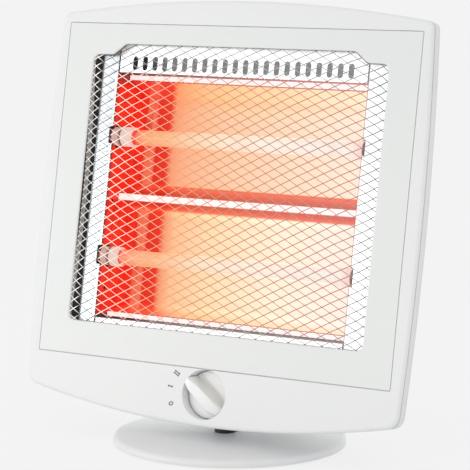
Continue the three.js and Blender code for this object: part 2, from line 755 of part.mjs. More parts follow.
function rearCover() {
  const skin = loft(coverSections(0, cover_back_depth));
  const inside_sections = coverSections(cover_wall, cover_back_depth - cover_wall);
  inside_sections.unshift([cover_front - cut_overrun, casingOutline(cover_wall)]);
  const inside = loft(inside_sections);
  const shell = cut(skin, inside);
  const pillars = coverScrewPlaces().map(([x, z]) =>
    turned(rod(pillar_radius, pillar_front_depth, cover_back_depth)).translate(x, 0, z));
  const boss_foot = casing_bottom_corner_z + casing_bottom_bow;
  const boss_top = bracket_level - running_gap;
  const bracket_bosses = [-1, 1].map((side) =>
    turnedAlongZ(rod(boss_radius, -boss_foot, boss_top)).translate(side * bracket_screw_x, pivot_depth, 0));
  const solid_parts = common(join(shell, ...pillars, ...bracket_bosses), skin);
  const head_holes = coverScrewPlaces().map(([x, z]) =>
    turned(rod(screw_head_hole_radius, pillar_seat_depth, cover_back_depth + cut_overrun)).translate(x, 0, z));
  const shank_holes = coverScrewPlaces().map(([x, z]) =>
    turned(rod(screw_hole_radius, cover_front, pillar_seat_depth + cut_overrun), small_steps).translate(x, 0, z));
  const bracket_holes = [-1, 1].map((side) =>
    turnedAlongZ(rod(screw_hole_radius, boss_top - bracket_screw_length, boss_top + cut_overrun), small_steps)
      .translate(side * bracket_screw_x, pivot_depth, 0));
  const vents = [];
  [upper_vents_z, lower_vents_z].forEach((middle_z, group) => {
    const rows = group === 0 ? upper_vent_rows : lower_vent_rows;
    for (let column = -1; column <= 1; column++) {
      for (let row = 0; row < rows; row++) {
        const z = middle_z + (row - (rows - 1) / 2) * vent_pitch_z;
        vents.push(roundSlot(column * vent_pitch_x, z, vent_length, vent_height));
      }
    }
  });
  const vent_cut = plate(vents, cover_back_depth - 2 * cover_wall, 2 * cover_wall + cut_overrun, 2);
  const neck_slot = upright(roundedPolygon([
    [-neck_slot_half_width, neck_slot_front, boss_radius], [neck_slot_half_width, neck_slot_front, boss_radius],
    [neck_slot_half_width, neck_slot_back, boss_radius], [-neck_slot_half_width, neck_slot_back, boss_radius],
  ]), -boss_foot - cut_overrun, boss_foot - pivot_drop);
  const gland_hole = turned(rod(gland_radius + running_gap, back_face - cut_overrun, cover_back_depth + cut_overrun))
    .translate(gland_x, 0, gland_z);
  return cut(solid_parts, ...head_holes, ...shank_holes, ...bracket_holes, vent_cut, neck_slot, gland_hole);
}

// A panhead screw's profile along its axis: the shank's tip first, its head above 0
const screwProfile = (length, head_radius = screw_head_radius, head = screw_head_height) => [
  [0, -length], [screw_shank_radius, -length], [screw_shank_radius, 0], [head_radius, 0],
  [head_radius, head], [0, head],
];

// Knob: a scooped disc with a pointer ridge across it, turned so that the ridge lies along X
function knob() {
  const back = recess_depth - knob_seat_gap;
  const envelope = turned([[0, -knob_ridge_proud], [knob_ridge_end_radius, -knob_ridge_proud],
    [knob_radius, knob_rim_depth - cut_overrun], [knob_radius, back], [0, back]], fine_steps / 2);
  const half_shares = [[1, knob_rim_depth], [0.74, knob_rim_depth * 0.9], [0.5, knob_rim_depth * 0.7],
    [0.34, knob_rim_depth * 0.38], [0.24, 0], [0.18, -knob_ridge_proud * 0.9]];
  const side = half_shares.map(([share, depth]) => new THREE.Vector2(depth, share * (knob_radius + cut_overrun)));
  const other_side = side.map(({ x, y }) => new THREE.Vector2(x, -y)).reverse();
  const crown = new THREE.Vector2(-knob_ridge_proud, 0);
  const section = new THREE.Shape([
    new THREE.Vector2(back + cut_overrun, knob_radius + cut_overrun), ...side, crown, ...other_side,
    new THREE.Vector2(back + cut_overrun, -knob_radius - cut_overrun),
  ]);
  const ridge = bar(section, -knob_radius - cut_overrun, 2 * (knob_radius + cut_overrun));
  const bore = turned(rod(shaft_radius + running_gap, back - shaft_reach, back + cut_overrun));
  return cut(common(envelope, ridge), bore);
}

function rotarySwitch() {
  const front = recess_back + running_gap;
  const body = plate(rectangle(-switch_width / 2, switch_width / 2,
    knob_z - switch_height / 2, knob_z + switch_height / 2), front, switch_length);
  const bore = turned(rod(shaft_radius + running_gap, front - cut_overrun, front + switch_length / 2))
    .translate(0, 0, knob_z);
  return cut(body, bore);
}

// U-shaped bracket: two ears on the pivot, a web over the knuckle and wings out to the bosses
function tiltBracket() {
  const ear = new THREE.Shape();
  ear.moveTo(pivot_depth + ear_radius, bracket_level + ear_thickness / 2);
  ear.lineTo(pivot_depth - ear_radius, bracket_level + ear_thickness / 2);
  ear.absarc(pivot_depth, -pivot_drop, ear_radius, Math.PI, TURN, false);
  ear.holes.push(disc(pivot_depth, -pivot_drop, pivot_hole_radius));
  const web = upright(rectangle(-bracket_half_width, bracket_half_width,
    pivot_depth - ear_radius, pivot_depth + ear_radius), bracket_level, ear_thickness);
  const holes = [-1, 1].map((side) =>
    turnedAlongZ(rod(screw_hole_radius, bracket_level - cut_overrun, bracket_level + 2 * cut_overrun), small_steps)
      .translate(side * bracket_screw_x, pivot_depth, 0));
  return cut(join(web, bar(ear, ear_inner_x, ear_thickness, small_steps),
    bar(ear, -ear_outer_x, ear_thickness, small_steps)), ...holes);
}

// Pivot pin through both ears, head at -X, and its nut at +X
function tiltPin() {
  const head_x = ear_outer_x + running_gap;
  return turnedAlongX([[0, -head_x - pivot_pin_head], [pivot_pin_head_radius, -head_x - pivot_pin_head],
    [pivot_pin_head_radius, -head_x], [pivot_pin_radius, -head_x],
    [pivot_pin_radius, head_x + pivot_pin_head + pivot_pin_tail], [0, head_x + pivot_pin_head + pivot_pin_tail]],
  round_steps);
}

function tiltNut() {
  const nut_x = ear_outer_x + running_gap;
  const hexagon_sides = 6;
  const blank = turnedAlongX(rod(pivot_pin_head_radius, nut_x, nut_x + pivot_pin_head), hexagon_sides);
  const bore = turnedAlongX(rod(pivot_hole_radius, nut_x - cut_overrun, nut_x + pivot_pin_head + cut_overrun));
  return cut(blank, bore);
}

function block([across, deep, high], x, z) {
  return plate(rectangle(x - across / 2, x + across / 2, z - high / 2, z + high / 2), back_face - deep, deep);
}

// Thermal cutout: a round can on a flange with two ears, seated on the reflector's back
function thermalCutout() {
  const seat = reflector_back_depth + sheet + running_gap;
  const middle_z = (trough_top + ridge_top) / 2;
  const flange = plate(roundSlot(0, middle_z, 2 * cutout_ear_half_width, cutout_radius), seat, cutout_flange);
  return join(flange, turned(rod(cutout_radius, seat, seat + cutout_height)).translate(0, 0, middle_z));
}

function cableGland() {
  const seat = cover_back_depth + running_gap;
  return turned([[gland_bore_radius, seat - gland_length], [gland_radius, seat - gland_length], [gland_radius, seat],
    [gland_flange_radius, seat], [gland_flange_radius, seat + gland_flange],
    [gland_bore_radius, seat + gland_flange], [gland_bore_radius, seat - gland_length]])
    .translate(gland_x, 0, gland_z);
}

// An insulated lead through points, as a six-sided tube
function lead(points) {
  const route = new THREE.CatmullRomCurve3(points.map((point) => new THREE.Vector3(...point)));
  const section = new THREE.Shape();
  for (let side = 0; side < lead_sides; side++) {
    const angle = side / lead_sides * TURN;
    const x = lead_radius * Math.cos(angle);
    const y = lead_radius * Math.sin(angle);
    if (side === 0) section.moveTo(x, y);
    else section.lineTo(x, y);
  }
  return new THREE.ExtrudeGeometry(section, { steps: lead_steps, extrudePath: route, bevelEnabled: false });
}

// The base: dome, weight plate, feet and screws
function domeHeight(radius) {
  const share = radius / base_shoulder_radius;
  return base_dome_height - (base_dome_height - base_shoulder_height) * share * share;
}
const base_hole_top = domeHeight(base_screw_circle_radius) - base_boss_roof;

function baseShell() {
  const dome_steps = 4;
  const dome = (drop) => Array.from({ length: dome_steps + 1 }, (_, step) => {
    const r = base_shoulder_radius * (1 - step / dome_steps);
    return [r, domeHeight(r) - drop];
  });
  const outer = [[base_radius, base_rim_low], [base_radius, base_rim_top],
    [base_radius - base_edge_width * base_edge_inset_share,
      base_rim_top + (base_shoulder_height - base_rim_top) * base_edge_rise_share],
    ...dome(0)];
  const inner_radius = base_radius - base_wall;
  const inner = [...dome(base_wall).reverse(), [inner_radius, base_rim_top - base_wall / 2],
    [inner_radius, base_rim_low]];
  const skin = turnedAlongZ([...outer, ...inner, [base_radius, base_rim_low]], fine_steps);
  const boss_top = domeHeight(base_screw_circle_radius) - base_wall / 2;
  const bosses = baseScrewPlaces().map(([x, y]) =>
    turnedAlongZ(rod(boss_radius, plate_low + plate_thickness + running_gap, boss_top), round_steps / 2)
      .translate(x, y, 0));
  const holes = baseScrewPlaces().map(([x, y]) =>
    turnedAlongZ(rod(screw_hole_radius, base_rim_low, base_hole_top), small_steps).translate(x, y, 0));
  const neck_hole = turnedAlongZ(rod(neck_screw_radius + running_gap, base_rim_low, base_dome_height + cut_overrun))
    .translate(0, neck_y, 0);
  return cut(join(skin, ...bosses), ...holes, neck_hole);
}

function baseScrewPlaces() {
  return Array.from({ length: base_screw_count }, (_, at) => {
    const angle = QUARTER + at / base_screw_count * TURN;
    return [base_screw_circle_radius * Math.cos(angle), base_screw_circle_radius * Math.sin(angle)];
  });
}

function weightPlate() {
  const blank = turnedAlongZ(rod(plate_radius, plate_low, plate_low + plate_thickness), fine_steps);
  const hole = (radius, x, y) =>
    turnedAlongZ(rod(radius, plate_low - cut_overrun, plate_low + plate_thickness + cut_overrun), small_steps)
      .translate(x, y, 0);
  return cut(blank, hole(neck_screw_radius + running_gap, 0, neck_y),
    ...baseScrewPlaces().map(([x, y]) => hole(screw_hole_radius, x, y)));
}

// Neck: a round post on the dome with a flat knuckle for the pivot
function neckPost() {
  const foot = base_dome_height + running_gap;
  const post = turnedAlongZ(rod(neck_radius, foot, neck_collar_top)).translate(0, neck_y, 0);
  const knuckle_shape = new THREE.Shape();
  knuckle_shape.moveTo(neck_y - knuckle_radius, neck_collar_top - cut_overrun);
  knuckle_shape.lineTo(neck_y + knuckle_radius, neck_collar_top - cut_overrun);
  knuckle_shape.absarc(neck_y, pivot_height, knuckle_radius, 0, Math.PI, false);
  knuckle_shape.holes.push(disc(neck_y, pivot_height, pivot_hole_radius));
  const knuckle = bar(knuckle_shape, -knuckle_half_width, 2 * knuckle_half_width, small_steps);
  const screw_hole = turnedAlongZ(rod(neck_screw_radius + running_gap, foot - cut_overrun, neck_screw_top + 2 * running_gap))
    .translate(0, neck_y, 0);
  return cut(join(post, knuckle), screw_hole);
}

const heater = new THREE.Group();

const base = new THREE.Group();
heater.add(base);
piece(base, 'base_shell', baseShell(), white_paint);
piece(base, 'weight_plate', weightPlate(), zinc_steel);
for (let at = 0; at < foot_count; at++) {
  const angle = (at + 0.5) / foot_count * TURN;
  const foot = turnedAlongZ(rod(foot_radius, 0, plate_low - running_gap));
  piece(base, `base_foot_${at + 1}`, foot, rubber)
    .position.set(foot_circle_radius * Math.cos(angle), foot_circle_radius * Math.sin(angle), 0);
}
baseScrewPlaces().forEach(([x, y], at) => {
  const underside = plate_low - running_gap;
  const length = base_hole_top - running_gap - underside;
  const screw = turnedAlongZ(screwProfile(length, screw_head_radius, base_screw_head), small_steps)
    .rotateX(Math.PI);
  piece(base, `base_screw_${at + 1}`, screw, zinc_steel).position.set(x, y, underside);
});
piece(base, 'neck_post', neckPost(), black_plastic);
const neck_screw = turnedAlongZ([[0, plate_low - running_gap - base_screw_head],
  [neck_screw_head_radius, plate_low - running_gap - base_screw_head],
  [neck_screw_head_radius, plate_low - running_gap], [neck_screw_radius, plate_low - running_gap],
  [neck_screw_radius, neck_screw_top], [0, neck_screw_top]]);
piece(base, 'neck_screw', neck_screw, zinc_steel).position.y = neck_y;

// The head leans back on the pivot, and its own origin is the middle of the window
const tilting = new THREE.Group();
tilting.position.set(0, neck_y, pivot_height);
tilting.rotation.x = -head_lean;
heater.add(tilting);
const head = new THREE.Group();
head.position.set(0, -pivot_depth, pivot_drop);
tilting.add(head);

piece(head, 'front_frame', frontFrame(), white_paint);
piece(head, 'front_panel', frontPanel(), panel_white);
piece(head, 'mesh_guard', meshGuard(), bright_wire);
piece(head, 'vent_strip', ventStrip(), polished_sheet);
piece(head, 'bottom_strip', bottomStrip(), polished_sheet);
piece(head, 'reflector', reflector(), polished_sheet);
piece(head, 'rear_cover', rearCover(), white_paint);

// The pieces at the chamber's two ends are a pair: the left ones are the right ones mirrored in X
function mirrored(geometry) {
  const flipped = toSolid(geometry).mirror([1, 0, 0]);
  return toGeometry(flipped);
}
piece(head, 'end_plate_right', endPlate(), polished_sheet);
piece(head, 'end_plate_left', mirrored(endPlate()), polished_sheet);

[['upper', upper_tube_z], ['lower', lower_tube_z]].forEach(([level, z]) => {
  piece(head, `quartz_tube_${level}`, quartzTube(), quartz).position.set(0, tube_depth, z);
  piece(head, `heating_coil_${level}`, heatingCoil(), resistance_wire).position.set(0, tube_depth, z);
  piece(head, `tube_cap_${level}_right`, tubeCap(), ceramic).position.set(0, tube_depth, z);
  piece(head, `tube_clip_${level}_right`, tubeClip(), zinc_steel).position.set(0, tube_depth, z);
  piece(head, `tube_cap_${level}_left`, mirrored(tubeCap()), ceramic).position.set(0, tube_depth, z);
  piece(head, `tube_clip_${level}_left`, mirrored(tubeClip()), zinc_steel).position.set(0, tube_depth, z);
});

[['left', -1], ['right', 1]].forEach(([side, sign]) => {
  [['upper', 1], ['lower', -1]].forEach(([level, up]) => {
    piece(head, `chassis_screw_${level}_${side}`, turned(screwProfile(screw_length - cut_overrun), small_steps), zinc_steel)
      .position.set(sign * chassis_tab_x, tab_depth + sheet + running_gap, up * chassis_tab_z);
    const cover_screw = turned(screwProfile(screw_length), small_steps);
    piece(head, `cover_screw_${level}_${side}`, cover_screw, zinc_steel).position.set(
      sign * pillar_x, pillar_seat_depth + running_gap, up > 0 ? upper_pillar_z : lower_pillar_z);
  });
  piece(head, `bracket_screw_${side}`, turnedAlongZ(screwProfile(bracket_screw_length - cut_overrun), small_steps), zinc_steel)
    .position.set(sign * bracket_screw_x, pivot_depth, bracket_level + ear_thickness + running_gap);
  const washer_x = sign > 0 ? washer_inner_x : -washer_inner_x - washer_thickness;
  const washer = turnedAlongX(ring(pivot_hole_radius, washer_radius, washer_x, washer_x + washer_thickness));
  piece(head, `tilt_washer_${side}`, washer, rubber).position.set(0, pivot_depth, -pivot_drop);
});
piece(head, 'tilt_bracket', tiltBracket(), zinc_steel);
piece(head, 'tilt_pin', tiltPin(), zinc_steel).position.set(0, pivot_depth, -pivot_drop);
piece(head, 'tilt_nut', tiltNut(), zinc_steel).position.set(0, pivot_depth, -pivot_drop);
piece(head, 'rotary_switch', rotarySwitch(), black_plastic);
piece(head, 'terminal_block', block(terminal_block_size, terminal_block_x, terminal_block_z), insulation);
piece(head, 'tip_over_switch', block(tip_switch_size, tip_switch_x, tip_switch_z), black_plastic);
piece(head, 'thermal_cutout', thermalCutout(), black_plastic);
piece(head, 'cable_gland', cableGland(), black_plastic);

// Leads from the tubes' pins to each other and to the switch, straight where they end
const lead_x = pin_end + lead_radius;
const lead_outer_x = lead_x + lead_bow;
const lead_shelf_z = -strip_bottom - lead_bow * lead_shelf_share;
const switch_lead_depth = recess_back + running_gap + switch_length * switch_lead_depth_share;
const switch_lead_rise = switch_height * switch_lead_rise_share;
const switchEnd = (rise) => [
  [-switch_width / 2 - running_gap - lead_bow, switch_lead_depth, knob_z + rise],
  [-switch_width / 2 - running_gap, switch_lead_depth, knob_z + rise],
];
const block_front = back_face - terminal_block_size[1] - running_gap;
const block_lead_x = terminal_block_x - lead_bow;
const lead_routes = {
  lead_jumper: [[lead_x, tube_depth, upper_tube_z],
    [lead_outer_x, tube_depth * 2, (upper_tube_z + lower_tube_z) / 2], [lead_x, tube_depth, lower_tube_z]],
  lead_upper: [[-lead_x, tube_depth, upper_tube_z], [-lead_outer_x, tube_depth * 2.6, 0],
    [-lead_outer_x, tube_depth * 3, lower_tube_z], [-lead_x, tube_depth * 3, lead_shelf_z],
    [-lead_x * 0.7, tube_depth * 3, lead_shelf_z - lead_bow],
    [-lead_x * 0.35, switch_lead_depth + lead_bow, knob_z + switch_lead_rise * 2], ...switchEnd(switch_lead_rise)],
  lead_lower: [[-lead_x, tube_depth, lower_tube_z], [-lead_x, tube_depth * 1.6, lower_tube_z - 3 * lead_bow],
    [-lead_x, tube_depth * 1.8, lead_shelf_z], [-lead_x * 0.7, tube_depth * 1.8, lead_shelf_z - 2 * lead_bow],
    [-lead_x * 0.35, switch_lead_depth, knob_z - switch_lead_rise], ...switchEnd(-switch_lead_rise)],
  lead_supply: [[block_lead_x, block_front, terminal_block_z], [block_lead_x, block_front - lead_bow, terminal_block_z],
    [-bracket_half_width - lead_bow, switch_lead_depth + 2 * lead_bow, knob_z + switch_lead_rise],
    ...switchEnd(0)],
};
Object.entries(lead_routes).forEach(([name, points]) => piece(head, name, lead(points), insulation));

// The knob and its shaft turn on the axis of the switch
const turning = new THREE.Group();
turning.position.z = knob_z;
head.add(turning);
piece(turning, 'knob', knob(), knob_white).rotation.y = -THREE.MathUtils.degToRad(knob_pointer_deg);
const shaft_front = recess_depth - knob_seat_gap - shaft_reach + running_gap;
const shaft_back = recess_back + switch_length / 2;
piece(turning, 'switch_shaft', turned(rod(shaft_radius, shaft_front, shaft_back)), zinc_steel);

export default heater;
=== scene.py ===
from math import atan2, cos, dist, hypot, pi, radians, sin

import bmesh
import bpy
import numpy as np
from mathutils import Matrix, Vector
from mathutils.geometry import tessellate_polygon


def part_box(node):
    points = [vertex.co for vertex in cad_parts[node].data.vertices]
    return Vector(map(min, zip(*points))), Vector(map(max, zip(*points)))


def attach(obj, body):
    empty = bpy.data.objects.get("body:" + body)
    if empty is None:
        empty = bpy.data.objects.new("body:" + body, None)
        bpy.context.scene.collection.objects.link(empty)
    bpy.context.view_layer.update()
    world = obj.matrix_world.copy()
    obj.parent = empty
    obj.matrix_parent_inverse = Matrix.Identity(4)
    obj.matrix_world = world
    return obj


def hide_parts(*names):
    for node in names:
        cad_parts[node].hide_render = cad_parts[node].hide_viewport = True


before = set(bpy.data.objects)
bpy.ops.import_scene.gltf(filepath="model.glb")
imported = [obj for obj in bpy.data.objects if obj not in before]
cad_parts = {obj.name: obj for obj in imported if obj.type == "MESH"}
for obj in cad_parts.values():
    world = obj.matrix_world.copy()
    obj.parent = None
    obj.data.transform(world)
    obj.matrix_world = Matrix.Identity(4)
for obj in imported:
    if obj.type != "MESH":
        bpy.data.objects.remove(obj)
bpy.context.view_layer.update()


# The view: a long lens a metre and a half in front of the heater, thirty degrees to its right
# and a little above it, turned by half a degree as the photograph was.
VIEW_AZIMUTH, VIEW_HEIGHT, VIEW_ROLL = (radians(angle) for angle in (30.02, 7.39, 0.49))
VIEW_PLACE, LENS, SENSOR_WIDTH, FAR_END = (0.7789, -1.3425, 0.3587), 160.8, 36, 200


def in_scene(name, data):
    made = bpy.data.objects.new(name, data)
    bpy.context.scene.collection.objects.link(made)
    return made


level = Vector((cos(VIEW_AZIMUTH), sin(VIEW_AZIMUTH), 0))
ahead = Vector((-sin(VIEW_AZIMUTH) * cos(VIEW_HEIGHT), cos(VIEW_AZIMUTH) * cos(VIEW_HEIGHT),
                -sin(VIEW_HEIGHT)))
above = level.cross(ahead)
picture_right = level * cos(VIEW_ROLL) + above * sin(VIEW_ROLL)
picture_up = above * cos(VIEW_ROLL) - level * sin(VIEW_ROLL)
camera = in_scene("view", bpy.data.cameras.new("view"))
camera.matrix_world = Matrix.Translation(VIEW_PLACE) @ Matrix(
    (picture_right, picture_up, -ahead)).transposed().to_4x4()
camera.data.sensor_width, camera.data.lens, camera.data.clip_end = SENSOR_WIDTH, LENS, FAR_END
bpy.context.scene.camera = camera


# The ground: a plain pale floor that runs on past the frame, and a pale studio all round.
# A white sheet on the left lights the face, weaker ones fill in from above, right and front.
def shade(*screen):
    """Red, green and blue, or one grey, as they show on the screen, as the light nodes use."""
    return tuple(c / 12.92 if c <= 0.04045 else ((c + 0.055) / 1.055) ** 2.4
                 for c in (value / 255 for value in screen * (3 // len(screen)))) + (1.0,)


def feed(tree, node, values):
    """Gives each named socket of a node a value, or what another node or socket puts out."""
    for socket, value in values.items():
        if isinstance(value, bpy.types.Node):
            value = value.outputs[0]
        if isinstance(value, bpy.types.NodeSocket):
            tree.links.new(value, node.inputs[socket])
        else:
            node.inputs[socket].default_value = value


def put(tree, kind, values=None, **settings):
    """One shader node with its settings, and its sockets fed."""
    made = tree.nodes.new("ShaderNode" + kind)
    for setting, value in settings.items():
        setattr(made, setting, value)
    feed(tree, made, values or {})
    return made


def calc(tree, operation, *values):
    return put(tree, "Math", dict(enumerate(values)), operation=operation)


def new_finish(name):
    made = bpy.data.materials.new(name)
    made.use_nodes = True
    return made


def on_shader(finish, values):
    feed(finish.node_tree, finish.node_tree.nodes["Principled BSDF"], values)


def looked_at(tree):
    """One where a ray comes from the camera, from gloss or through glass, nought elsewhere."""
    ray = put(tree, "LightPath").outputs
    mirrored = calc(tree, "MAXIMUM", ray["Is Glossy Ray"], ray["Is Transmission Ray"])
    return calc(tree, "MAXIMUM", ray["Is Camera Ray"], mirrored)


PAPER, LIT_PAPER, STUDIO_AIR, PLAIN_SHARE, HALF_FLOOR = 242, 248, 252, 0.82, 60
floor_mesh = bpy.data.meshes.new("floor")
floor_mesh.from_pydata(
    [(x * HALF_FLOOR, y * HALF_FLOOR, 0) for x, y in ((-1, -1), (1, -1), (1, 1), (-1, 1))],
    [], [(0, 1, 2, 3)])
floor = in_scene("floor", floor_mesh)
paper = new_finish("paper floor")
on_shader(paper, {"Base Color": shade(243, 243, 244), "Roughness": 0.9, "Specular IOR Level": 0.1})
tree = paper.node_tree
plain = put(tree, "Emission", {"Color": shade(LIT_PAPER), "Strength": 1.0})
feed(tree, tree.nodes["Material Output"], {"Surface": put(tree, "MixShader", {
    0: calc(tree, "MULTIPLY", looked_at(tree), PLAIN_SHARE), 1: tree.nodes["Principled BSDF"],
    2: plain})})
floor.data.materials.append(paper)

studio = bpy.data.worlds.new("studio")
bpy.context.scene.world = studio
studio.use_nodes = True
tree = studio.node_tree
air = put(tree, "Background", {"Color": shade(STUDIO_AIR), "Strength": 0.79})
wall = put(tree, "Background", {"Color": shade(PAPER), "Strength": 1.0})
feed(tree, tree.nodes["World Output"],
     {"Surface": put(tree, "MixShader", {0: looked_at(tree), 1: air, 2: wall})})


def white_sheet(name, place, aim, size, power):
    lamp = bpy.data.lights.new(name, "AREA")
    lamp.shape, lamp.size, lamp.energy = "SQUARE", size, power
    holder = in_scene(name, lamp)
    holder.location = place
    holder.rotation_euler = (Vector(aim) - Vector(place)).to_track_quat("-Z", "Y").to_euler()


white_sheet("window on the left", (-1.5, -1.3, 0.1), (0, 0, 0.17), 1.1, 10.6)
white_sheet("sheet overhead", (0.8, -1.3, 1.9), (0, 0, 0.1), 1.4, 1.05)
white_sheet("sheet on the right", (1.7, -0.5, 0.2), (0, 0, 0.1), 1.1, 2.1)
white_sheet("low sheet in front", (-0.2, -1.1, 0.06), (0, 0, 0.05), 0.7, 1.1)
bpy.context.scene.view_settings.view_transform = "Standard"


# Base shell: a low white dome moulded in one piece, with a rounded edge that stands clear of
# the floor on four feet. It is hollow, and the weight plate closes it from below.
ACROSS, BACK, UPWARD = range(3)


def around(steps):
    return [2 * pi * step / steps for step in range(steps)]


class Blank:
    """The corners and faces of one piece while it is being made, in millimetres."""

    def __init__(self):
        self.points, self.faces = [], []

    def ring(self, points):
        start = len(self.points)
        self.points.extend(points)
        return list(range(start, len(self.points)))

    def wrap(self, rings):
        """Four-sided faces from each ring to the next, also from the last corner to the first."""
        for low, high in zip(rings, rings[1:]):
            for at in range(len(low)):
                after = (at + 1) % len(low)
                self.faces.append((low[at], low[after], high[after], high[at]))

    def fill(self, *loops):
        """A flat face inside the first loop, with the others left open as holes."""
        corners = [at for loop in loops for at in loop]
        outlines = [[Vector(self.points[at]) for at in loop] for loop in loops]
        self.faces.extend(tuple(corners[at] for at in corner)
                          for corner in tessellate_polygon(outlines))

    def solid(self, rings):
        """A closed body through rings of equal count, with a flat face at each end."""
        made = [self.ring(points) for points in rings]
        self.wrap(made)
        self.fill(made[0])
        self.fill(made[-1])

    def run(self, axis, outline, *places):
        """A closed body: an outline of two coordinates run along the third axis."""
        self.solid([[(*point[:axis], place, *point[axis:]) for point in outline]
                    for place in places])

    def turn(self, profile, place, steps, hollow=True):
        """A profile of [radius, along] turned about an axis, closed on itself or by end faces."""
        rings = [[place(radius * cos(a), radius * sin(a), along) for a in around(steps)]
                 for radius, along in profile]
        if hollow:
            rings = [self.ring(points) for points in rings]
            self.wrap(rings + rings[:1])
        else:
            self.solid(rings)


def world_point(x, y, z):
    return Vector((x, y, z)) / 1000


def recalculated(mesh, joined=False):
    """Turns the faces of a mesh outwards, once corners that meet are joined if that is asked."""
    shell = bmesh.new()
    shell.from_mesh(mesh)
    if joined:
        bmesh.ops.remove_doubles(shell, verts=shell.verts, dist=1e-7)
        bmesh.ops.dissolve_degenerate(shell, edges=shell.edges, dist=1e-7)
    bmesh.ops.recalc_face_normals(shell, faces=shell.faces)
    shell.to_mesh(mesh)
    shell.free()


def add_piece(name, blank, finish, body, stands_for=(), place=world_point, crease=38):
    """Makes the blank a piece in its place, evenly shaded, that rides on a body of the frame."""
    mesh = bpy.data.meshes.new(name)
    mesh.from_pydata([place(*point) for point in blank.points], [], blank.faces)
    recalculated(mesh, joined=True)
    mesh.polygons.foreach_set("use_smooth", [True] * len(mesh.polygons))
    mesh.set_sharp_from_angle(angle=radians(crease))
    mesh.materials.append(finish)
    piece = in_scene(name, mesh)
    piece.modifiers.new("even shading", "WEIGHTED_NORMAL").keep_sharp = True
    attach(piece, body)
    if stands_for:
        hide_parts(*stands_for)
    return piece


def effect(name, inputs, *outputs):
    """An empty shader group with its named inputs at their first values, and its outputs."""
    group = bpy.data.node_groups.new(name, "ShaderNodeTree")
    for label, value in inputs.items():
        kind = "Float" if isinstance(value, float) else "Color" if len(value) == 4 else "Vector"
        made = group.interface.new_socket(label, in_out="INPUT", socket_type="NodeSocket" + kind)
        made.default_value = value
    for label in outputs:
        kind = "Color" if label in ("Colour", "Glow") else "Float"
        group.interface.new_socket(label, in_out="OUTPUT", socket_type="NodeSocket" + kind)
    return group, group.nodes.new("NodeGroupInput").outputs, group.nodes.new("NodeGroupOutput")


def place_on(tree):
    return put(tree, "TexCoord").outputs["Object"]


def clouds(tree, where, scale, detail):
    return put(tree, "TexNoise", {"Vector": where, "Scale": scale, "Detail": detail})


def mask(tree, value, low, high, first=0.0, last=1.0):
    """A soft step of a value between low and high."""
    return put(tree, "MapRange", {"Value": value, "From Min": low, "From Max": high,
                                  "To Min": first, "To Max": last},
               interpolation_type="SMOOTHSTEP")


def blend(tree, share, first, second):
    return put(tree, "Mix", {"Factor": share, 6: first, 7: second}, data_type="RGBA").outputs[2]


def dimmed(tree, colour, share):
    return put(tree, "VectorMath", {0: colour, "Scale": share}, operation="SCALE")


def ramp(tree, value, *stops, ease="LINEAR"):
    """Colours along a value: each stop is its place on it, rising, and a colour or a grey."""
    low, high = stops[0][0], stops[-1][0]
    share = put(tree, "MapRange", {"Value": value, "From Min": low, "From Max": high})
    made = put(tree, "ValToRGB", {"Fac": share})
    made.color_ramp.interpolation = ease
    elements = made.color_ramp.elements
    while len(elements) < len(stops):
        elements.new(0.5)
    for element, (place, *colour) in zip(elements, stops):
        element.position = (place - low) / (high - low)
        element.color = shade(*colour)
    return made


moulded_skin, given, result = effect("moulded skin", {
    "Colour": (0.8, 0.8, 0.8, 1), "Shade": (0.7, 0.7, 0.7, 1), "Grain": 420.0, "Gloss": 0.3,
    "Spread": 0.1}, "Colour", "Roughness", "Height")
where = place_on(moulded_skin)
patch = mask(moulded_skin, clouds(moulded_skin, where, 9.0, 3.0), 0.35, 0.7)
sheen = clouds(moulded_skin, where, 42.0, 5.0)
feed(moulded_skin, result, {
    "Colour": blend(moulded_skin, patch, given["Colour"], given["Shade"]),
    "Roughness": calc(moulded_skin, "MULTIPLY_ADD", sheen, given["Spread"], given["Gloss"]),
    "Height": clouds(moulded_skin, where, given["Grain"], 2.0)})


def coated(name, skin, relief, reach, glow, **values):
    """A finish whose skin group gives its colour, its gloss and its relief."""
    made = new_finish(name)
    nodes = made.node_tree
    painted = put(nodes, "Group", values, node_tree=skin).outputs
    bump = put(nodes, "Bump", {"Strength": relief, "Distance": reach, "Height": painted["Height"]})
    on_shader(made, {"Base Color": painted["Colour"], "Roughness": painted["Roughness"],
                     "Normal": bump, "Emission Color": values["Colour"], "Emission Strength": glow})
    return made


def plastic(name, colour, shadow, gloss=0.24, spread=0.14, grain=420, relief=0.012, glow=0.0):
    """A moulded or lacquered plastic: faint flow patches, uneven gloss and a fine grain."""
    return coated(name, moulded_skin, relief, 0.0004, glow, Colour=shade(*colour),
                  Shade=shade(*shadow), Grain=grain, Gloss=gloss, Spread=spread)


# Painted light: the base glows faintly in a band under the head, fading towards its front and back
# and weaker towards the right, to lift the shade there.
base_white = plastic("base white", (238, 239, 239), (235, 236, 237), gloss=0.3, relief=0.008,
                     glow=0.18)
nodes = base_white.node_tree
spot = put(nodes, "SeparateXYZ", {0: place_on(nodes)}).outputs
painted_light_under_head = ramp(nodes, spot["Y"], (-0.06, 0), (0.0, 255), (0.03, 255), (0.06, 0), ease="EASE")
on_shader(base_white, {"Emission Color": dimmed(nodes, painted_light_under_head,
                                                mask(nodes, spot["X"], -0.07, 0.07, 1.0, 0.45))})

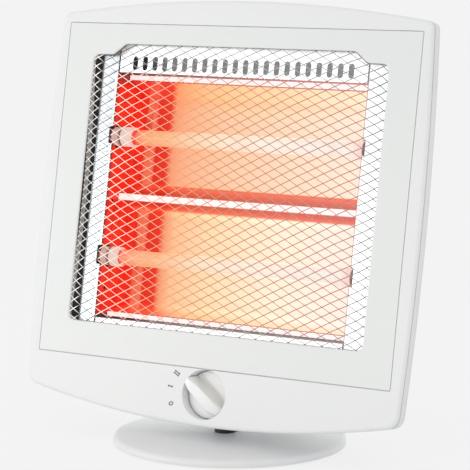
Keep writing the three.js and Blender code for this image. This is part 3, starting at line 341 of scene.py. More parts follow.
BASE_RADIUS, DOME_RADIUS, NECK_HOLE = 88.0, 84.5, 8.2
BASE_CROWN, DOME_FOOT, SHELL = 9.0, 6.4, 2.0
base, dome = Blank(), []
for step in range(15):
    reach = NECK_HOLE + (DOME_RADIUS - NECK_HOLE) * step / 14
    dome.append((reach, DOME_FOOT + (BASE_CROWN - DOME_FOOT) * (1 - (reach / DOME_RADIUS) ** 2.4)))
edge = [(85.9, 6.05), (87.0, 5.35), (87.7, 4.5), (BASE_RADIUS, 3.5), (BASE_RADIUS, 1.6),
        (87.8, 1.1), (87.3, 0.9), (86.4, 0.9), (86.0, 1.2), (86.0, 3.6), (84.6, 4.4)]
inside = [(radius, z - SHELL) for radius, z in reversed(dome)]
base.turn(dome + edge + inside, lambda x, y, z: (x, y, z), 144)
add_piece("base_dome", base, base_white, "base", ("base_shell",))


# Under the base: a galvanised weight plate, three screws that hold it, and four rubber feet.
# The feet are moulded with a rounded rim and a shallow dish, so that they grip the table.
rolled_skin, given, result = effect("rolled skin", {
    "Colour": (0.7, 0.7, 0.7, 1), "Grain": 300.0, "Gloss": 0.3, "Spread": 0.2,
    "Run": (1.0, 1.0, 1.0)}, "Colour", "Roughness", "Height")
where = place_on(rolled_skin)
drawn = put(rolled_skin, "VectorMath", {0: where, 1: given["Run"]}, operation="MULTIPLY")
streak = clouds(rolled_skin, drawn, given["Grain"], 4.0)
feed(rolled_skin, streak, {"Roughness": 0.6})
dull = put(rolled_skin, "MapRange", {"Value": clouds(rolled_skin, where, 35.0, 3.0),
                                     "From Min": 0.3, "From Max": 0.7, "To Min": 1.0, "To Max": 0.86})
feed(rolled_skin, result, {
    "Colour": dimmed(rolled_skin, given["Colour"], dull), "Height": streak,
    "Roughness": calc(rolled_skin, "MULTIPLY_ADD", streak, given["Spread"], given["Gloss"])})


def metal(name, colour, gloss, spread, grain, relief=0.05, metallic=1.0, run=(1.0, 1.0, 1.0),
          glow=0.0):
    """A rolled or plated metal: streaks along its run, uneven gloss and a faint grain."""
    made = coated(name, rolled_skin, relief, 0.0003, glow, Colour=shade(*colour), Grain=grain,
                  Gloss=gloss, Spread=spread, Run=run)
    on_shader(made, {"Metallic": metallic})
    return made


zinc = metal("galvanised steel", (188, 190, 190), 0.28, 0.25, 260)
rubber = plastic("foot rubber", (44, 44, 46), (34, 34, 36), gloss=0.7, grain=900, relief=0.2)


def refinish(finish, *nodes):
    """Gives CAD solids that keep their shape their real material."""
    for node in nodes:
        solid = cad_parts[node]
        if not solid.material_slots:
            solid.data.materials.append(finish)
        for slot in solid.material_slots:
            slot.material = finish


for number in range(1, 5):
    low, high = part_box(f"base_foot_{number}")
    middle, top = (low + high) * 500, high.z * 1000
    foot = Blank()
    foot.turn([(0.02, 0.35), (3.6, 0.25), (4.6, 0.0), (5.4, 0.0), (5.9, 0.3), (6.0, 0.8),
               (6.0, top), (0.02, top)],
              lambda x, y, z, m=middle: (m.x + x, m.y + y, z), 40, hollow=False)
    add_piece(f"rubber_foot_{number}", foot, rubber, "base", (f"base_foot_{number}",))
refinish(zinc, "weight_plate", "base_screw_1", "base_screw_2", "base_screw_3", "neck_screw")


# Neck and tilting bracket: a black moulded post screwed to the base, and a galvanised bracket
# that turns on a steel pin through the post's knuckle, between two friction washers.
black = plastic("black plastic", (20, 20, 21), (14, 14, 15), gloss=0.26, grain=1100, relief=0.05)
refinish(black, "neck_post")
refinish(rubber, "tilt_washer_left", "tilt_washer_right")
refinish(zinc, "tilt_bracket", "tilt_pin", "tilt_nut", "bracket_screw_left", "bracket_screw_right")


# Casing front: one white moulding with bowed edges. A shallow recess takes the panel, a lip
# behind slides into the rear cover, and a deep round cup below holds the knob.
LEAN = radians(10.1)
PIVOT_DEPTH, PIVOT_UP, PIVOT_Y, PIVOT_Z = 32.6, -148, -7, 35.3
CASING_TOP, CASING_FOOT = (157, 134.5), (158, 152.5)
CASING_BOWS, CASING_CORNERS = (4.1, 12, 4.1, 17.5), (5, 5, 8, 8)
casing_white = plastic("casing white", (240, 241, 240), (238, 239, 239), gloss=0.3)


def head_point(across, depth, up):
    """A point of the head, leaning back on its neck: across the face, back from it and up it."""
    back, rise = depth - PIVOT_DEPTH, up - PIVOT_UP
    return Vector((across, PIVOT_Y + back * cos(LEAN) + rise * sin(LEAN),
                   PIVOT_Z - back * sin(LEAN) + rise * cos(LEAN))) / 1000


def add_to_head(name, blank, finish, slot, *solids, body="head", crease=38):
    return add_piece(name, blank, finish, body, solids, head_point, crease)


def bend(start, control, end, share):
    """A point on the smooth curve between two points that leans towards a third."""
    return tuple(a * (1 - share) ** 2 + 2 * b * share * (1 - share) + c * share ** 2
                 for a, b, c in zip(start, control, end))


def casing_outline(inset=0.0, low_inset=None):
    """The casing's bowed outline, drawn in all round and by another inset below."""
    low_inset = inset if low_inset is None else low_inset
    top_x, top_up = CASING_TOP[0] - inset, CASING_TOP[1] - inset
    low_x, low_up = CASING_FOOT[0] - inset, CASING_FOOT[1] - low_inset
    corners = [(low_x, -low_up), (top_x, top_up), (-top_x, top_up), (-low_x, -low_up)]
    side_steps, corner_steps = 16, 8
    sides = []
    for (start, end), bow in zip(zip(corners, corners[1:] + corners[:1]), CASING_BOWS):
        run = Vector(end) - Vector(start)
        outwards = Vector((run.y, -run.x)).normalized()
        control = (Vector(start) + Vector(end)) / 2 + outwards * 2 * bow
        sides.append((start, tuple(control), end, run.length))
    radii = [radius + inset / 2 for radius in CASING_CORNERS]
    outline = []
    for at, (start, control, end, length) in enumerate(sides):
        first, last = radii[at - 1] / length, 1 - radii[at] / length
        outline += [bend(start, control, end, first + (last - first) * step / side_steps)
                    for step in range(side_steps + 1)]
        after = sides[(at + 1) % 4]
        joined = bend(*after[:3], radii[at] / after[3])
        tip = outline[-1]
        outline += [bend(tip, end, joined, step / corner_steps) for step in range(1, corner_steps)]
    return outline


def rounded(corners):
    """An outline of [across, up, radius] corners, each rounded off."""
    outline, steps = [], 6
    for at, (x, y, radius) in enumerate(corners):
        corner = Vector((x, y))
        start, end = (corner + (Vector(near[:2]) - corner).normalized() * radius
                      for near in (corners[at - 1], corners[(at + 1) % len(corners)]))
        outline += [bend(start, corner, end, step / steps) for step in range(steps + 1)]
    return outline


def box_outline(half_width, low, high, radius):
    return rounded([(half_width, low, radius), (half_width, high, radius),
                    (-half_width, high, radius), (-half_width, low, radius)])


def circle(x, up, radius, steps=72):
    return [(x + radius * cos(a), up + radius * sin(a)) for a in around(steps)]


def at_depth(outline, depth):
    return [(x, depth, up) for x, up in outline]


def stepped(blank, outline, *steps):
    """The skin through an outline that is drawn anew for each [measure, depth]."""
    rings = [blank.ring(at_depth(outline(measure), depth)) for measure, depth in steps]
    blank.wrap(rings)
    return rings


KNOB_UP, CUP_RADIUS, CUP_FOOT, CUP_DEPTH = -146.2, 18.5, 18.2, 10.5
PANEL_X, PANEL_UP, SEAM = 150, 127, 0.45

front = Blank()
outer = stepped(front, casing_outline, (4.7, 2.9), (4.7, 9.0), (2.8, 9.0), (2.8, 3.0),
                (0.5, 3.0), (0.1, 2.8), (0.0, 2.4), (0.12, 1.6), (0.45, 0.95), (1.0, 0.45),
                (1.7, 0.14), (2.6, 0.0))
seat = stepped(front, lambda grow: box_outline(PANEL_X + SEAM + grow, -PANEL_UP - SEAM - grow,
                                               PANEL_UP + SEAM + grow, 1.2),
               (0.25, 0.0), (0.07, 0.07), (0.0, 0.25), (0.0, 1.5))
window = stepped(front, lambda half_width: box_outline(half_width, -104, 116, 4),
                 (128.5, 1.5), (128.5, 2.9))
cup = stepped(front, lambda radius: circle(0, KNOB_UP, radius),
              (CUP_RADIUS + 0.22, 0.0), (CUP_RADIUS + 0.06, 0.06), (CUP_RADIUS, 0.3),
              (CUP_FOOT + 0.1, 9.6), (CUP_FOOT - 0.3, 10.3), (CUP_FOOT - 0.9, CUP_DEPTH),
              (4.5, CUP_DEPTH), (4.5, 12.5), (20.3, 12.5), (20.6, 2.9))
front.fill(outer[-1], seat[0], cup[0])
front.fill(seat[-1], window[0])
front.fill(outer[0], window[-1], cup[-1])
add_to_head("casing_front", front, casing_white, "white_shell", "front_frame")


# Front panel: a white lacquered plate let into the casing's recess, a hair's breadth of seam
# all round it. Its stepped opening has a rolled edge, behind which the guard is held.
panel_white = plastic("panel lacquer", (237, 239, 237), (235, 238, 236), gloss=0.26, spread=0.1,
                      grain=700, relief=0.015)


def opening_outline(margin=0.0, aside=0.0):
    """The panel's opening, lower at its upper corners, widened all round and then leftwards."""
    left, right = -126.2 - margin - aside, 125.4 + margin
    low, high = -101.7 - margin, 103.3 + margin
    foot, tip, top = 108.5 + margin / 2, 98 + margin / 2, 111.6 + margin
    return rounded([(left, low, 6), (right, low, 6), (right, high, 6), (foot, high, 2),
                    (tip, top, 2), (-tip, top, 2), (-foot, high, 2), (left, high, 6)])


panel = Blank()
rim = stepped(panel, lambda inset: box_outline(PANEL_X - inset, -PANEL_UP + inset,
                                               PANEL_UP - inset, 1.0),
              (0.3, 1.2), (0.0, 1.0), (0.0, 0.3), (0.1, 0.1), (0.35, 0.0))
hole = stepped(panel, opening_outline, (1.1, 0.0), (0.6, 0.08), (0.2, 0.3), (0.0, 0.65), (0.0, 1.2))
panel.fill(rim[-1], hole[0])
panel.fill(rim[0], hole[-1])
add_to_head("panel_plate", panel, panel_white, "panel", "front_panel")


# Rear cover: a deep white moulding that draws in towards a flat back with cooling slots. Four
# long wells let the screws through to the front, and the neck goes in through a slot below.
cover_white = plastic("cover white", (238, 239, 239), (235, 236, 237), gloss=0.34, spread=0.16)
COVER_FRONT, COVER_BACK, COVER_WALL = 3.8, 76, 2.2
SIDES_DRAWN_IN, FOOT_DRAWN_IN, COVER_RINGS = 44, 24, 22
COVER_STEPS = ((0.107, 0, 0), (0.15, 0.03, 0.02), (0.2, 0.09, 0.05), (0.28, 0.19, 0.12),
               (0.78, 0.62, 0.3), (0.92, 0.77, 0.5), (0.985, 0.88, 0.75), (1, 1, 1))


def smooth_steps(rows, count):
    """The rows of a table joined by one smooth curve and read at more places."""
    table = np.array(rows, float)
    lengths = np.linalg.norm(np.diff(table, axis=0), axis=1)
    run = np.concatenate([[0], np.cumsum(np.maximum(lengths, 1e-6))])
    slopes = np.gradient(table, run, axis=0)
    read = []
    for place in np.linspace(0, run[-1], count):
        at = min(int(np.searchsorted(run, place, side="right")) - 1, len(rows) - 2)
        width = run[at + 1] - run[at]
        t = (place - run[at]) / width
        a, b = 2 * t ** 3 - 3 * t ** 2 + 1, t ** 3 - 2 * t ** 2 + t
        c, d = -2 * t ** 3 + 3 * t ** 2, t ** 3 - t ** 2
        read.append(a * table[at] + b * width * slopes[at]
                    + c * table[at + 1] + d * width * slopes[at + 1])
    return np.array(read)


def cover_rings(inset, back_depth):
    """Outlines from the front edge to the back, each drawn in by its share of the way."""
    rows = np.vstack([[0, 0, 0], [0.012, 0, 0], smooth_steps(COVER_STEPS, COVER_RINGS)])
    return [at_depth(casing_outline(inset + side * SIDES_DRAWN_IN, inset + low * FOOT_DRAWN_IN),
                     COVER_FRONT + (back_depth - COVER_FRONT) * share)
            for share, side, low in np.clip(rows, 0, 1)]


def carved(blank, tool, way="DIFFERENCE"):
    """The blank with another solid cut away, joined on or kept only where both are."""
    solids = []
    for shape in (blank, tool):
        mesh = bpy.data.meshes.new("work")
        mesh.from_pydata(shape.points, [], shape.faces)
        recalculated(mesh)
        solids.append(in_scene("work", mesh))
    change = solids[0].modifiers.new("cut", "BOOLEAN")
    change.operation, change.object, change.solver = way, solids[1], "EXACT"
    change.use_self = True
    ready = solids[0].evaluated_get(bpy.context.evaluated_depsgraph_get()).to_mesh()
    made = Blank()
    made.points = [tuple(corner.co) for corner in ready.vertices]
    made.faces = [tuple(face.vertices) for face in ready.polygons]
    for solid in solids:
        mesh = solid.data
        bpy.data.objects.remove(solid)
        bpy.data.meshes.remove(mesh)
    return made


def round_slot(x, up, width, height):
    """A slot with round ends, lying or standing."""
    radius, steps = min(width, height) / 2, 8
    reach_x, reach_up = width / 2 - radius, height / 2 - radius
    start = -90 if width > height else 0
    outline = []
    for side, turn in ((1, start), (-1, start + 180)):
        for step in range(steps + 1):
            angle = radians(turn + 180 * step / steps)
            outline.append((x + side * reach_x + radius * cos(angle),
                            up + side * reach_up + radius * sin(angle)))
    return outline


def four(name):
    return [f"{name}_{level}_{side}" for level in ("upper", "lower") for side in ("left", "right")]


SCREW_PLACES = [(side * 139, up) for side in (-1, 1) for up in (116, -134)]
COOLING_COLUMN, COOLING_ROW, COOLING_WIDTH, COOLING_HEIGHT = 56, 11, 44, 4
skin, hollow, wells, cuts = Blank(), Blank(), Blank(), Blank()
skin.solid(cover_rings(0, COVER_BACK))
hollow.solid([at_depth(casing_outline(COVER_WALL), 1)]
             + cover_rings(COVER_WALL, COVER_BACK - COVER_WALL)[1:])
for x, up in SCREW_PLACES:
    wells.run(BACK, circle(x, up, 5, 32), 8.3, COVER_BACK)
shell = carved(carved(skin, hollow), carved(wells, skin, "INTERSECT"), "UNION")
for x, up in SCREW_PLACES:
    cuts.run(BACK, circle(x, up, 3.5, 32), 14, 80)
    cuts.run(BACK, circle(x, up, 1.7, 20), 4, 14.5)
for middle, rows in ((50, 5), (-52, 3)):
    for column in (-1, 0, 1):
        for row in range(rows):
            up = middle + (row - (rows - 1) / 2) * COOLING_ROW
            cuts.run(BACK, round_slot(column * COOLING_COLUMN, up, COOLING_WIDTH, COOLING_HEIGHT),
                     71, 79)
cuts.run(UPWARD, rounded([(-10.5, 21, 4), (10.5, 21, 4), (10.5, 53, 4), (-10.5, 53, 4)]), -175, -148)
cuts.run(BACK, circle(-60, -118, 5.7, 40), 71, 79)
cover = add_to_head("cover_shell", carved(shell, cuts), cover_white, "white_shell", "rear_cover",
                    crease=32)
refinish(zinc, *four("cover_screw"))
refinish(black, "cable_gland")


# Chamber sheets: bright rolled sheet round the heating chamber. An end plate on each side is
# folded from the front strip into the chamber's wall, and a strip closes it above and below.
head_place, _, result = effect("place in the head", {}, "Across", "Depth", "Up")
pivot = (0, PIVOT_Y / 1000, PIVOT_Z / 1000)
from_pivot = put(head_place, "VectorMath", {0: place_on(head_place), 1: pivot}, operation="SUBTRACT")
for label, axis, start in (("Across", (1000, 0, 0), 0),
                           ("Depth", (0, 1000 * cos(LEAN), -1000 * sin(LEAN)), PIVOT_DEPTH),
                           ("Up", (0, 1000 * sin(LEAN), 1000 * cos(LEAN)), PIVOT_UP)):
    along = put(head_place, "VectorMath", {0: from_pivot, 1: axis}, operation="DOT_PRODUCT")
    feed(head_place, result, {label: calc(head_place, "ADD", along.outputs["Value"], start)})
SHEET, STRIP_DEPTH, CHAMBER_X, TROUGH_DEPTH, TUBE_DEPTH = 0.8, 7.4, 106.3, 61.0, 14.7
TUBES, LIGHT_SLANT = (("upper", 41.8), ("lower", -50.4)), 0.62


def head_spot(tree):
    return put(tree, "Group", node_tree=head_place).outputs


def between(tree, value, low, low_full, high, high_full, most=1.0):
    """A soft band: nought at low and high, full from one inner place to the other."""
    return calc(tree, "MULTIPLY", mask(tree, value, low, low_full, 0.0, most),
                mask(tree, value, high, high_full))


def shadow_place(tree, spot):
    """How far along a point lies once moved with the slanting light to the trough's back."""
    deep = calc(tree, "SUBTRACT", spot["Depth"], TROUGH_DEPTH)
    return calc(tree, "MULTIPLY_ADD", deep, LIGHT_SLANT, spot["Across"])


# Painted light on the end walls: the tubes' red light is painted into their colour and glow, set out
# along the slanting shadow line, with painted mottled reflections and painted shade that is darker in
# the top corner and at the foot.
wall_painted_light, _, result = effect("heat on the end walls", {}, "Colour", "Glow")
spot = head_spot(wall_painted_light)
stretched = put(wall_painted_light, "CombineXYZ", {0: calc(wall_painted_light, "MULTIPLY", spot["Depth"], 0.16),
                                          1: calc(wall_painted_light, "MULTIPLY", spot["Up"], 0.03)})
bands = mask(wall_painted_light, clouds(wall_painted_light, stretched, 1.0, 2.0), 0.48, 0.66, 0.0, 0.7)
red = ramp(wall_painted_light, shadow_place(wall_painted_light, spot), (-140, 214, 40, 28), (-137, 236, 38, 22),
           (-125, 240, 38, 20), (-114, 236, 40, 24), (-111.6, 230, 52, 34), (-109.6, 230, 104, 74),
           (-103, 236, 124, 90))
for share, colour in ((bands, (200, 28, 18)), (mask(wall_painted_light, spot["Up"], 80, 88), (128, 30, 26)),
                      (mask(wall_painted_light, spot["Up"], -92.5, -95.5), (70, 26, 24))):
    red = blend(wall_painted_light, share, red, shade(*colour))
feed(wall_painted_light, result, {"Colour": dimmed(wall_painted_light, red, 0.2), "Glow": red})


def lit_by_painted_glow(name, painted_light, specular):
    """Bright sheet in the light of the tubes: its glow is painted by its place in the head."""
    made = metal(name, (255,), 0.3, 0.12, 500, relief=0.03, metallic=0.0, run=(0.05, 1.0, 1.0))
    painted = put(made.node_tree, "Group", node_tree=painted_light).outputs
    on_shader(made, {"Base Color": painted["Colour"], "Emission Color": painted["Glow"],
                     "Emission Strength": 0.9, "Specular IOR Level": specular})
    return made


def sheet(name, colour, gloss, spread=0.16, metallic=0.1, **more):
    return metal(name, colour, gloss, spread, 600, relief=0.03, metallic=metallic, **more)


end_wall_glow = lit_by_painted_glow("end wall in the glow", wall_painted_light, 0.3)
bright_sheet = sheet("bright sheet", (236, 237, 238), 0.26, metallic=0.9)
# Painted light and shade: the glare finishes glow faintly as painted glare of the room and the window
# on the strips' faces, and the sheet in the dark is painted shade for faces deep in the gaps.
white_glare = sheet("bright sheet facing the room", (252, 253, 254), 0.22, metallic=0.8,
                    run=(0.04, 1.0, 1.0), glow=0.35)
window_glare = sheet("bright sheet facing the window", (236, 241, 243), 0.25, metallic=0.8,
                     run=(1.0, 0.04, 0.04), glow=0.05)
dark_sheet = sheet("sheet in the dark", (84, 82, 80), 0.5, 0.2)


def repaint(piece, finish, chosen):
    """Gives faces another finish, chosen by their place in the head and the way they turn."""
    piece.data.materials.append(finish)
    away, rise = (head_point(0, *spot) - head_point(0, 0, 0) for spot in ((1, 0), (0, 1)))
    for face in piece.data.polygons:
        gap, turn = face.center - head_point(0, 0, 0), face.normal
        turned = Vector((turn.x, turn.dot(away) * 1000, turn.dot(rise) * 1000))
        if chosen(face.center.x * 1000, gap.dot(away) * 1e6, gap.dot(rise) * 1e6, turned):
            face.material_index = len(piece.data.materials) - 1


cover_in_glow = plastic("cover inside in the glow", (110,), (98, 98, 99), gloss=0.5, glow=0.9)
nodes = cover_in_glow.node_tree
on_shader(cover_in_glow, {"Emission Color": ramp(
    nodes, head_spot(nodes)["Across"], (-130, 16), (-115, 22), (-108, 78), (-98, 122, 124, 123),
    (130, 140, 141, 140))})
cover_in_shade = plastic("cover inside in shade", (118, 116, 112), (104, 102, 98), gloss=0.5,
                         glow=0.05)
repaint(cover, cover_in_shade, lambda x, depth, up, turn: depth > 5 and turn.x * x < -0.25 * abs(x))
repaint(cover, cover_in_glow, lambda x, depth, up, turn: 50 < depth < 75 and turn.y < -0.12)


def shaded_flange(name, left, right):
    """A strip's folded edge with the chamber's light painted on: dark at the cold end, paler along
    it.
    """
    made = sheet(name, left, 0.4, 0.2, glow=0.5)
    nodes = made.node_tree
    painted = ramp(nodes, head_spot(nodes)["Across"], (-106, *left), (106, *right))
    on_shader(made, {"Base Color": painted, "Emission Color": painted})
    return made


def fold_line(name, glowing, cold):
    """The fold between strip and wall: painted red light beside the tubes, painted shadow above and
    below.
    """
    made = sheet(name, glowing, 0.4, 0.2, glow=0.3)
    nodes = made.node_tree
    beside = between(nodes, head_spot(nodes)["Up"], 89.6, 88.8, -97.2, -96.4)
    painted = blend(nodes, beside, shade(*cold), shade(*glowing))
    on_shader(made, {"Base Color": painted, "Emission Color": painted})
    return made


flange_in_red_light = shaded_flange("upper flange in red light", (74, 32, 31), (176, 104, 108))
shaded_sheet = shaded_flange("lower flange in shadow", (70, 44, 46), (116, 108, 110))
FOLDS = {-1: fold_line("left fold", (136, 44, 42), (58, 54, 52)),
         1: fold_line("right fold", (206, 138, 132), (150, 146, 144))}
CUT_TOPS = {-1: [(-130, 103.1), (-112.5, 103.1), (-101.6, 111.9), (-101.6, 125), (-130, 125)],
            1: [(130, 103.4), (105.1, 103.4), (94.2, 111.9), (94.2, 125), (130, 125)]}
NOTCHES = {(-1, "upper"): (108.3, 2.05, -6.2, 7.4), (-1, "lower"): (108.5, 2.25, -6.9, 7.8),
           (1, "upper"): (107.7, 1.4, -4.4, 7.0), (1, "lower"): (107.7, 1.4, -6.8, 7.4)}
HOLE_RADIUS, NOTCH_CORNER = {-1: 8.8, 1: 7.6}, {-1: 2.0, 1: 0.6}
OUTER_BENDS = {
    -1: ([(123.4, 12), (123.35, 10.8), (123, 9.6), (122.4, 8.6), (121.4, 7.8), (120, 7.4)],
         [(122.6, 12), (122.55, 10.9), (122.3, 9.9), (121.8, 9.1), (121, 8.5), (119.9, 8.2)]),
    1: ([(124.4, 12), (124.4, 8.4), (124.2, 7.8), (123.6, 7.4)],
        [(123.6, 12), (123.6, 8.6), (123.5, 8.3), (123.3, 8.2)])}
for side, name in ((-1, "left"), (1, "right")):
    plate, cuts = Blank(), Blank()
    outside, inside = OUTER_BENDS[side]
    line = outside + [(107.3, STRIP_DEPTH), (106.6, 7.7), (CHAMBER_X, 8.4), (CHAMBER_X, 66)]
    back = inside + [(107.5, 8.2), (107.2, 8.3), (107.1, 8.6), (CHAMBER_X + SHEET, 66)]
    plate.run(UPWARD, [(side * x, depth) for x, depth in line + back[::-1]], -104, 106.5)
    cuts.run(BACK, CUT_TOPS[side], 5, 30)
    for level, up in TUBES:
        cuts.run(ACROSS, circle(TUBE_DEPTH, up, HOLE_RADIUS[side], 48), side * 104.5, side * 108.5)
        middle, half, low, high = NOTCHES[side, level]
        cuts.run(BACK, [(side * (middle + x), up + rise)
                        for x, rise in box_outline(half, low, high, NOTCH_CORNER[side])],
                 5.5, TUBE_DEPTH)
    cuts.run(UPWARD, [(side * x, depth) for x, depth in ((104, 26), (109, 26), (109, 70), (104, 70))],
             92.4, 120)
    for depth, up, radius in ((16, -75, 1.5), (18, 70, 1.9), (14, 82, 1.3), (30, 30, 1.1),
                              (15, -8, 1.4)):
        cuts.run(ACROSS, circle(depth, up, radius, 20), side * 104.5, side * 108.5)
    plate = carved(plate, cuts)
    for up in (-80, 80):
        plate.run(BACK, [(side * x, up + rise)
                         for x, rise in ((123.2, -6), (138, -6), (138, 6), (123.2, 6))], 12.0, 12.8)
    made = add_to_head(f"end_sheet_{name}", plate, bright_sheet, "polished_sheet",
                       f"end_plate_{name}", crease=50)
    repaint(made, white_glare if side > 0 else window_glare,
            lambda x, depth, up, turn: depth < 8.5 and turn.y < -0.75)
    repaint(made, FOLDS[side],
            lambda x, depth, up, turn: abs(x) < 107.2 and depth < 8.5 and turn.y < 0)
    repaint(made, end_wall_glow,
            lambda x, depth, up, turn: abs(x) < 106.4 and turn.x * x < -0.9 * abs(x))
    repaint(made, dark_sheet, lambda x, depth, up, turn: depth > 11.5 and (
        abs(x) > 121 or abs(turn.x) < 0.9 and abs(x) < 107))

STRIP_SLOPE, VENT_SLOTS, VENT_STEP, VENT_UP = 0.0052, 22, 8.8, 98.0
vent, cuts, low_strip = Blank(), Blank(), Blank()
section = [(STRIP_DEPTH, 114), (STRIP_DEPTH, 90.8), (7.7, 90.1), (8.4, 89.8), (16.0, 89.8),
           (16.0, 90.6), (8.6, 90.6), (8.2, 90.9), (8.2, 114)]
vent.solid([[(x, depth, up - STRIP_SLOPE * x if up < 100 else up) for depth, up in section]
            for x in (-106, 106)])
for outline in (*CUT_TOPS.values(), box_outline(110, 112.1, 120, 0.5)):
    cuts.run(BACK, outline, 5, 30)
for at in range(VENT_SLOTS):
    cuts.run(BACK, round_slot((at - (VENT_SLOTS - 1) / 2) * VENT_STEP, VENT_UP, 4.4, 10.8), 6, 10)
made = add_to_head("slotted_strip", carved(vent, cuts), bright_sheet, "polished_sheet",
                   "vent_strip", crease=50)
repaint(made, white_glare, lambda x, depth, up, turn: turn.y < -0.5)
repaint(made, flange_in_red_light, lambda x, depth, up, turn: turn.z < -0.5 and up < 91.5)

low_strip.run(ACROSS, [
    (STRIP_DEPTH, -104), (STRIP_DEPTH, -98.5), (7.7, -97.9), (8.4, -97.6), (22.2, -97.6),
    (22.2, -98.4), (8.6, -98.4), (8.2, -98.7), (8.2, -104)], -106, 106)
made = add_to_head("lower_strip", low_strip, bright_sheet, "polished_sheet", "bottom_strip",
                   crease=50)
repaint(made, white_glare, lambda x, depth, up, turn: turn.y < -0.8)
repaint(made, shaded_sheet, lambda x, depth, up, turn: turn.z > 0.45 and up > -98.5)
refinish(zinc, *four("chassis_screw"))


# Trough reflector: one polished sheet bent into two troughs with a flat ridge between them and
# a flat lip above and below. It throws the tubes' light forward, red near the cold end.
# Painted light on the reflector: the tubes' light is painted into its colour and glow, cream along
# the troughs, orange near the lips and red at the cold end and on the ridge. It has painted shade
# along the slanting shadow line, a painted darker line at the lips' edges and a painted highlight on
# the lips' fronts.
painted_light, _, result = effect("heat on the reflector", {}, "Colour", "Glow")
spot = head_spot(painted_light)
along = shadow_place(painted_light, spot)
COLD_END = [(-130, 236, 40, 24), (-114, 230, 46, 30), (-111.6, 226, 58, 40), (-109.4, 228, 108, 80),
            (-102.5, 232, 122, 92), (-100.5, 222, 50, 32), (-89.5, 226, 58, 38),
            (-84.5, 241, 158, 114)]
upper = ramp(painted_light, along, *COLD_END, (-76, 245, 176, 132), (-40, 248, 198, 158),
             (20, 248, 218, 188), (70, 250, 232, 212), (107, 252, 236, 220))
lower = ramp(painted_light, along, *COLD_END, (-76, 248, 194, 144), (-40, 251, 218, 174),
             (20, 252, 236, 212), (70, 250, 237, 224), (107, 249, 234, 224))
top_orange = ramp(painted_light, along, (-130, 236, 40, 24), (-112, 228, 50, 34),
                  (-89.5, 226, 64, 40), (-84.5, 246, 152, 86), (-60, 250, 188, 122),
                  (0, 252, 205, 150), (107, 252, 232, 200))
low_orange = ramp(painted_light, along, (-130, 216, 44, 26), (-84, 232, 104, 62),
                  (-60, 246, 176, 124), (30, 250, 206, 170), (107, 250, 214, 190))
upper = blend(painted_light, mask(painted_light, spot["Up"], 62, 80, 0.0, 0.6), upper, top_orange)
lower = blend(painted_light, mask(painted_light, spot["Up"], -84, -91.5, 0.0, 0.75), lower, low_orange)
ridge_red = ramp(painted_light, spot["Up"], (-13, 238, 120, 84), (-9.5, 218, 50, 32),
                 (-6, 172, 30, 20), (-1.5, 150, 26, 18), (3, 204, 40, 26), (9, 230, 88, 58))
edge_red = ramp(painted_light, spot["Up"], (-94, 124, 58, 50), (-60, 170, 60, 50),
                (-4, 208, 82, 66), (50, 180, 60, 52), (88, 164, 62, 68))
lip_painted_highlight = ramp(painted_light, spot["Across"], (-107, 236, 200, 194), (-104.5, 255, 240, 238),
                 (107, 255, 246, 245))
painted = lower
for share, colour in ((mask(painted_light, spot["Up"], -5, -2.5), upper),
                      (between(painted_light, spot["Up"], 9.4, 7.6, -12.6, -10.8), ridge_red),
                      (mask(painted_light, spot["Depth"], 26.6, 24.6), edge_red),
                      (mask(painted_light, spot["Depth"], 23.8, 23.2), lip_painted_highlight)):
    painted = blend(painted_light, share, painted, colour)
feed(painted_light, result, {"Colour": dimmed(painted_light, painted, 0.2), "Glow": painted})
reflector_glow = lit_by_painted_glow("reflector in the glow", painted_light, 0.4)
LIP_DEPTH, MIRROR_SHEET, SLOPE_DEPTH = 22.8, 0.7, 54.0
SLOPE_RISE, TIP_RISE, FLAT_RISE = 8.33, 10.2, 17.2


def trough_line(high, low):
    """Half of the reflector's section: back from one edge, round two bends and out again."""
    line, shares = [(LIP_DEPTH, high)], [step / 6 for step in range(7)]
    for edge, way in ((high, -1), (low, 1)):
        curve = [(depth, edge + way * rise) for depth, rise in (
            (SLOPE_DEPTH, SLOPE_RISE), (TROUGH_DEPTH, TIP_RISE), (TROUGH_DEPTH, FLAT_RISE))]
        line += [bend(*curve[::-way], share) for share in shares]
    return line + [(LIP_DEPTH, low)]


def heading(line, at):
    """The way a line runs at one of its points."""
    return (Vector(line[min(at + 1, len(line) - 1)]) - Vector(line[max(at - 1, 0)])).normalized()


mirror, ends = Blank(), []
for x, lip_foot in ((-106, 87.0), (106, 86.1)):
    line = [(29.8, 90.8), (23.4, 90.8), (LIP_DEPTH, 90.4)]
    line += trough_line(lip_foot, -1.5) + trough_line(-6, -93)
    line += [(LIP_DEPTH, -96.3), (23.4, -96.7), (29.8, -96.7)]
    rear = [(depth - heading(line, at).y * MIRROR_SHEET, up + heading(line, at).x * MIRROR_SHEET)
            for at, (depth, up) in enumerate(line)]
    ends.append([(x, depth, up) for depth, up in line + rear[::-1]])
mirror.solid(ends)
made = add_to_head("trough_reflector", mirror, bright_sheet, "polished_sheet", "reflector",
                   crease=40)
made.data.materials.append(reflector_glow)
for face in made.data.polygons:
    to_tube = min((head_point(0, TUBE_DEPTH, up) - face.center for _, up in TUBES),
                  key=lambda gap: gap.length)
    if to_tube.dot(face.normal) > 0:
        face.material_index = 1


# Heating elements: a coil of resistance wire inside each clear-fused tube, a turned ceramic cap
# on both ends and a spring clip round each cap's neck behind the end wall.
def glowing(name, strength, gloss, *stops):
    """A glowing surface, its colour painted along the tube, faint bands across it; on caps, painted
    light.
    """
    made = new_finish(name)
    nodes = made.node_tree
    cloud = mask(nodes, clouds(nodes, place_on(nodes), 90.0, 2.0), 0.35, 0.75, 0.0, 0.12)
    colour = blend(nodes, cloud, ramp(nodes, head_spot(nodes)["Across"], *stops),
                   shade(255, 170, 120))
    on_shader(made, {"Base Color": dimmed(nodes, colour, 0.25), "Roughness": gloss,
                     "Emission Color": colour, "Emission Strength": strength})
    return made


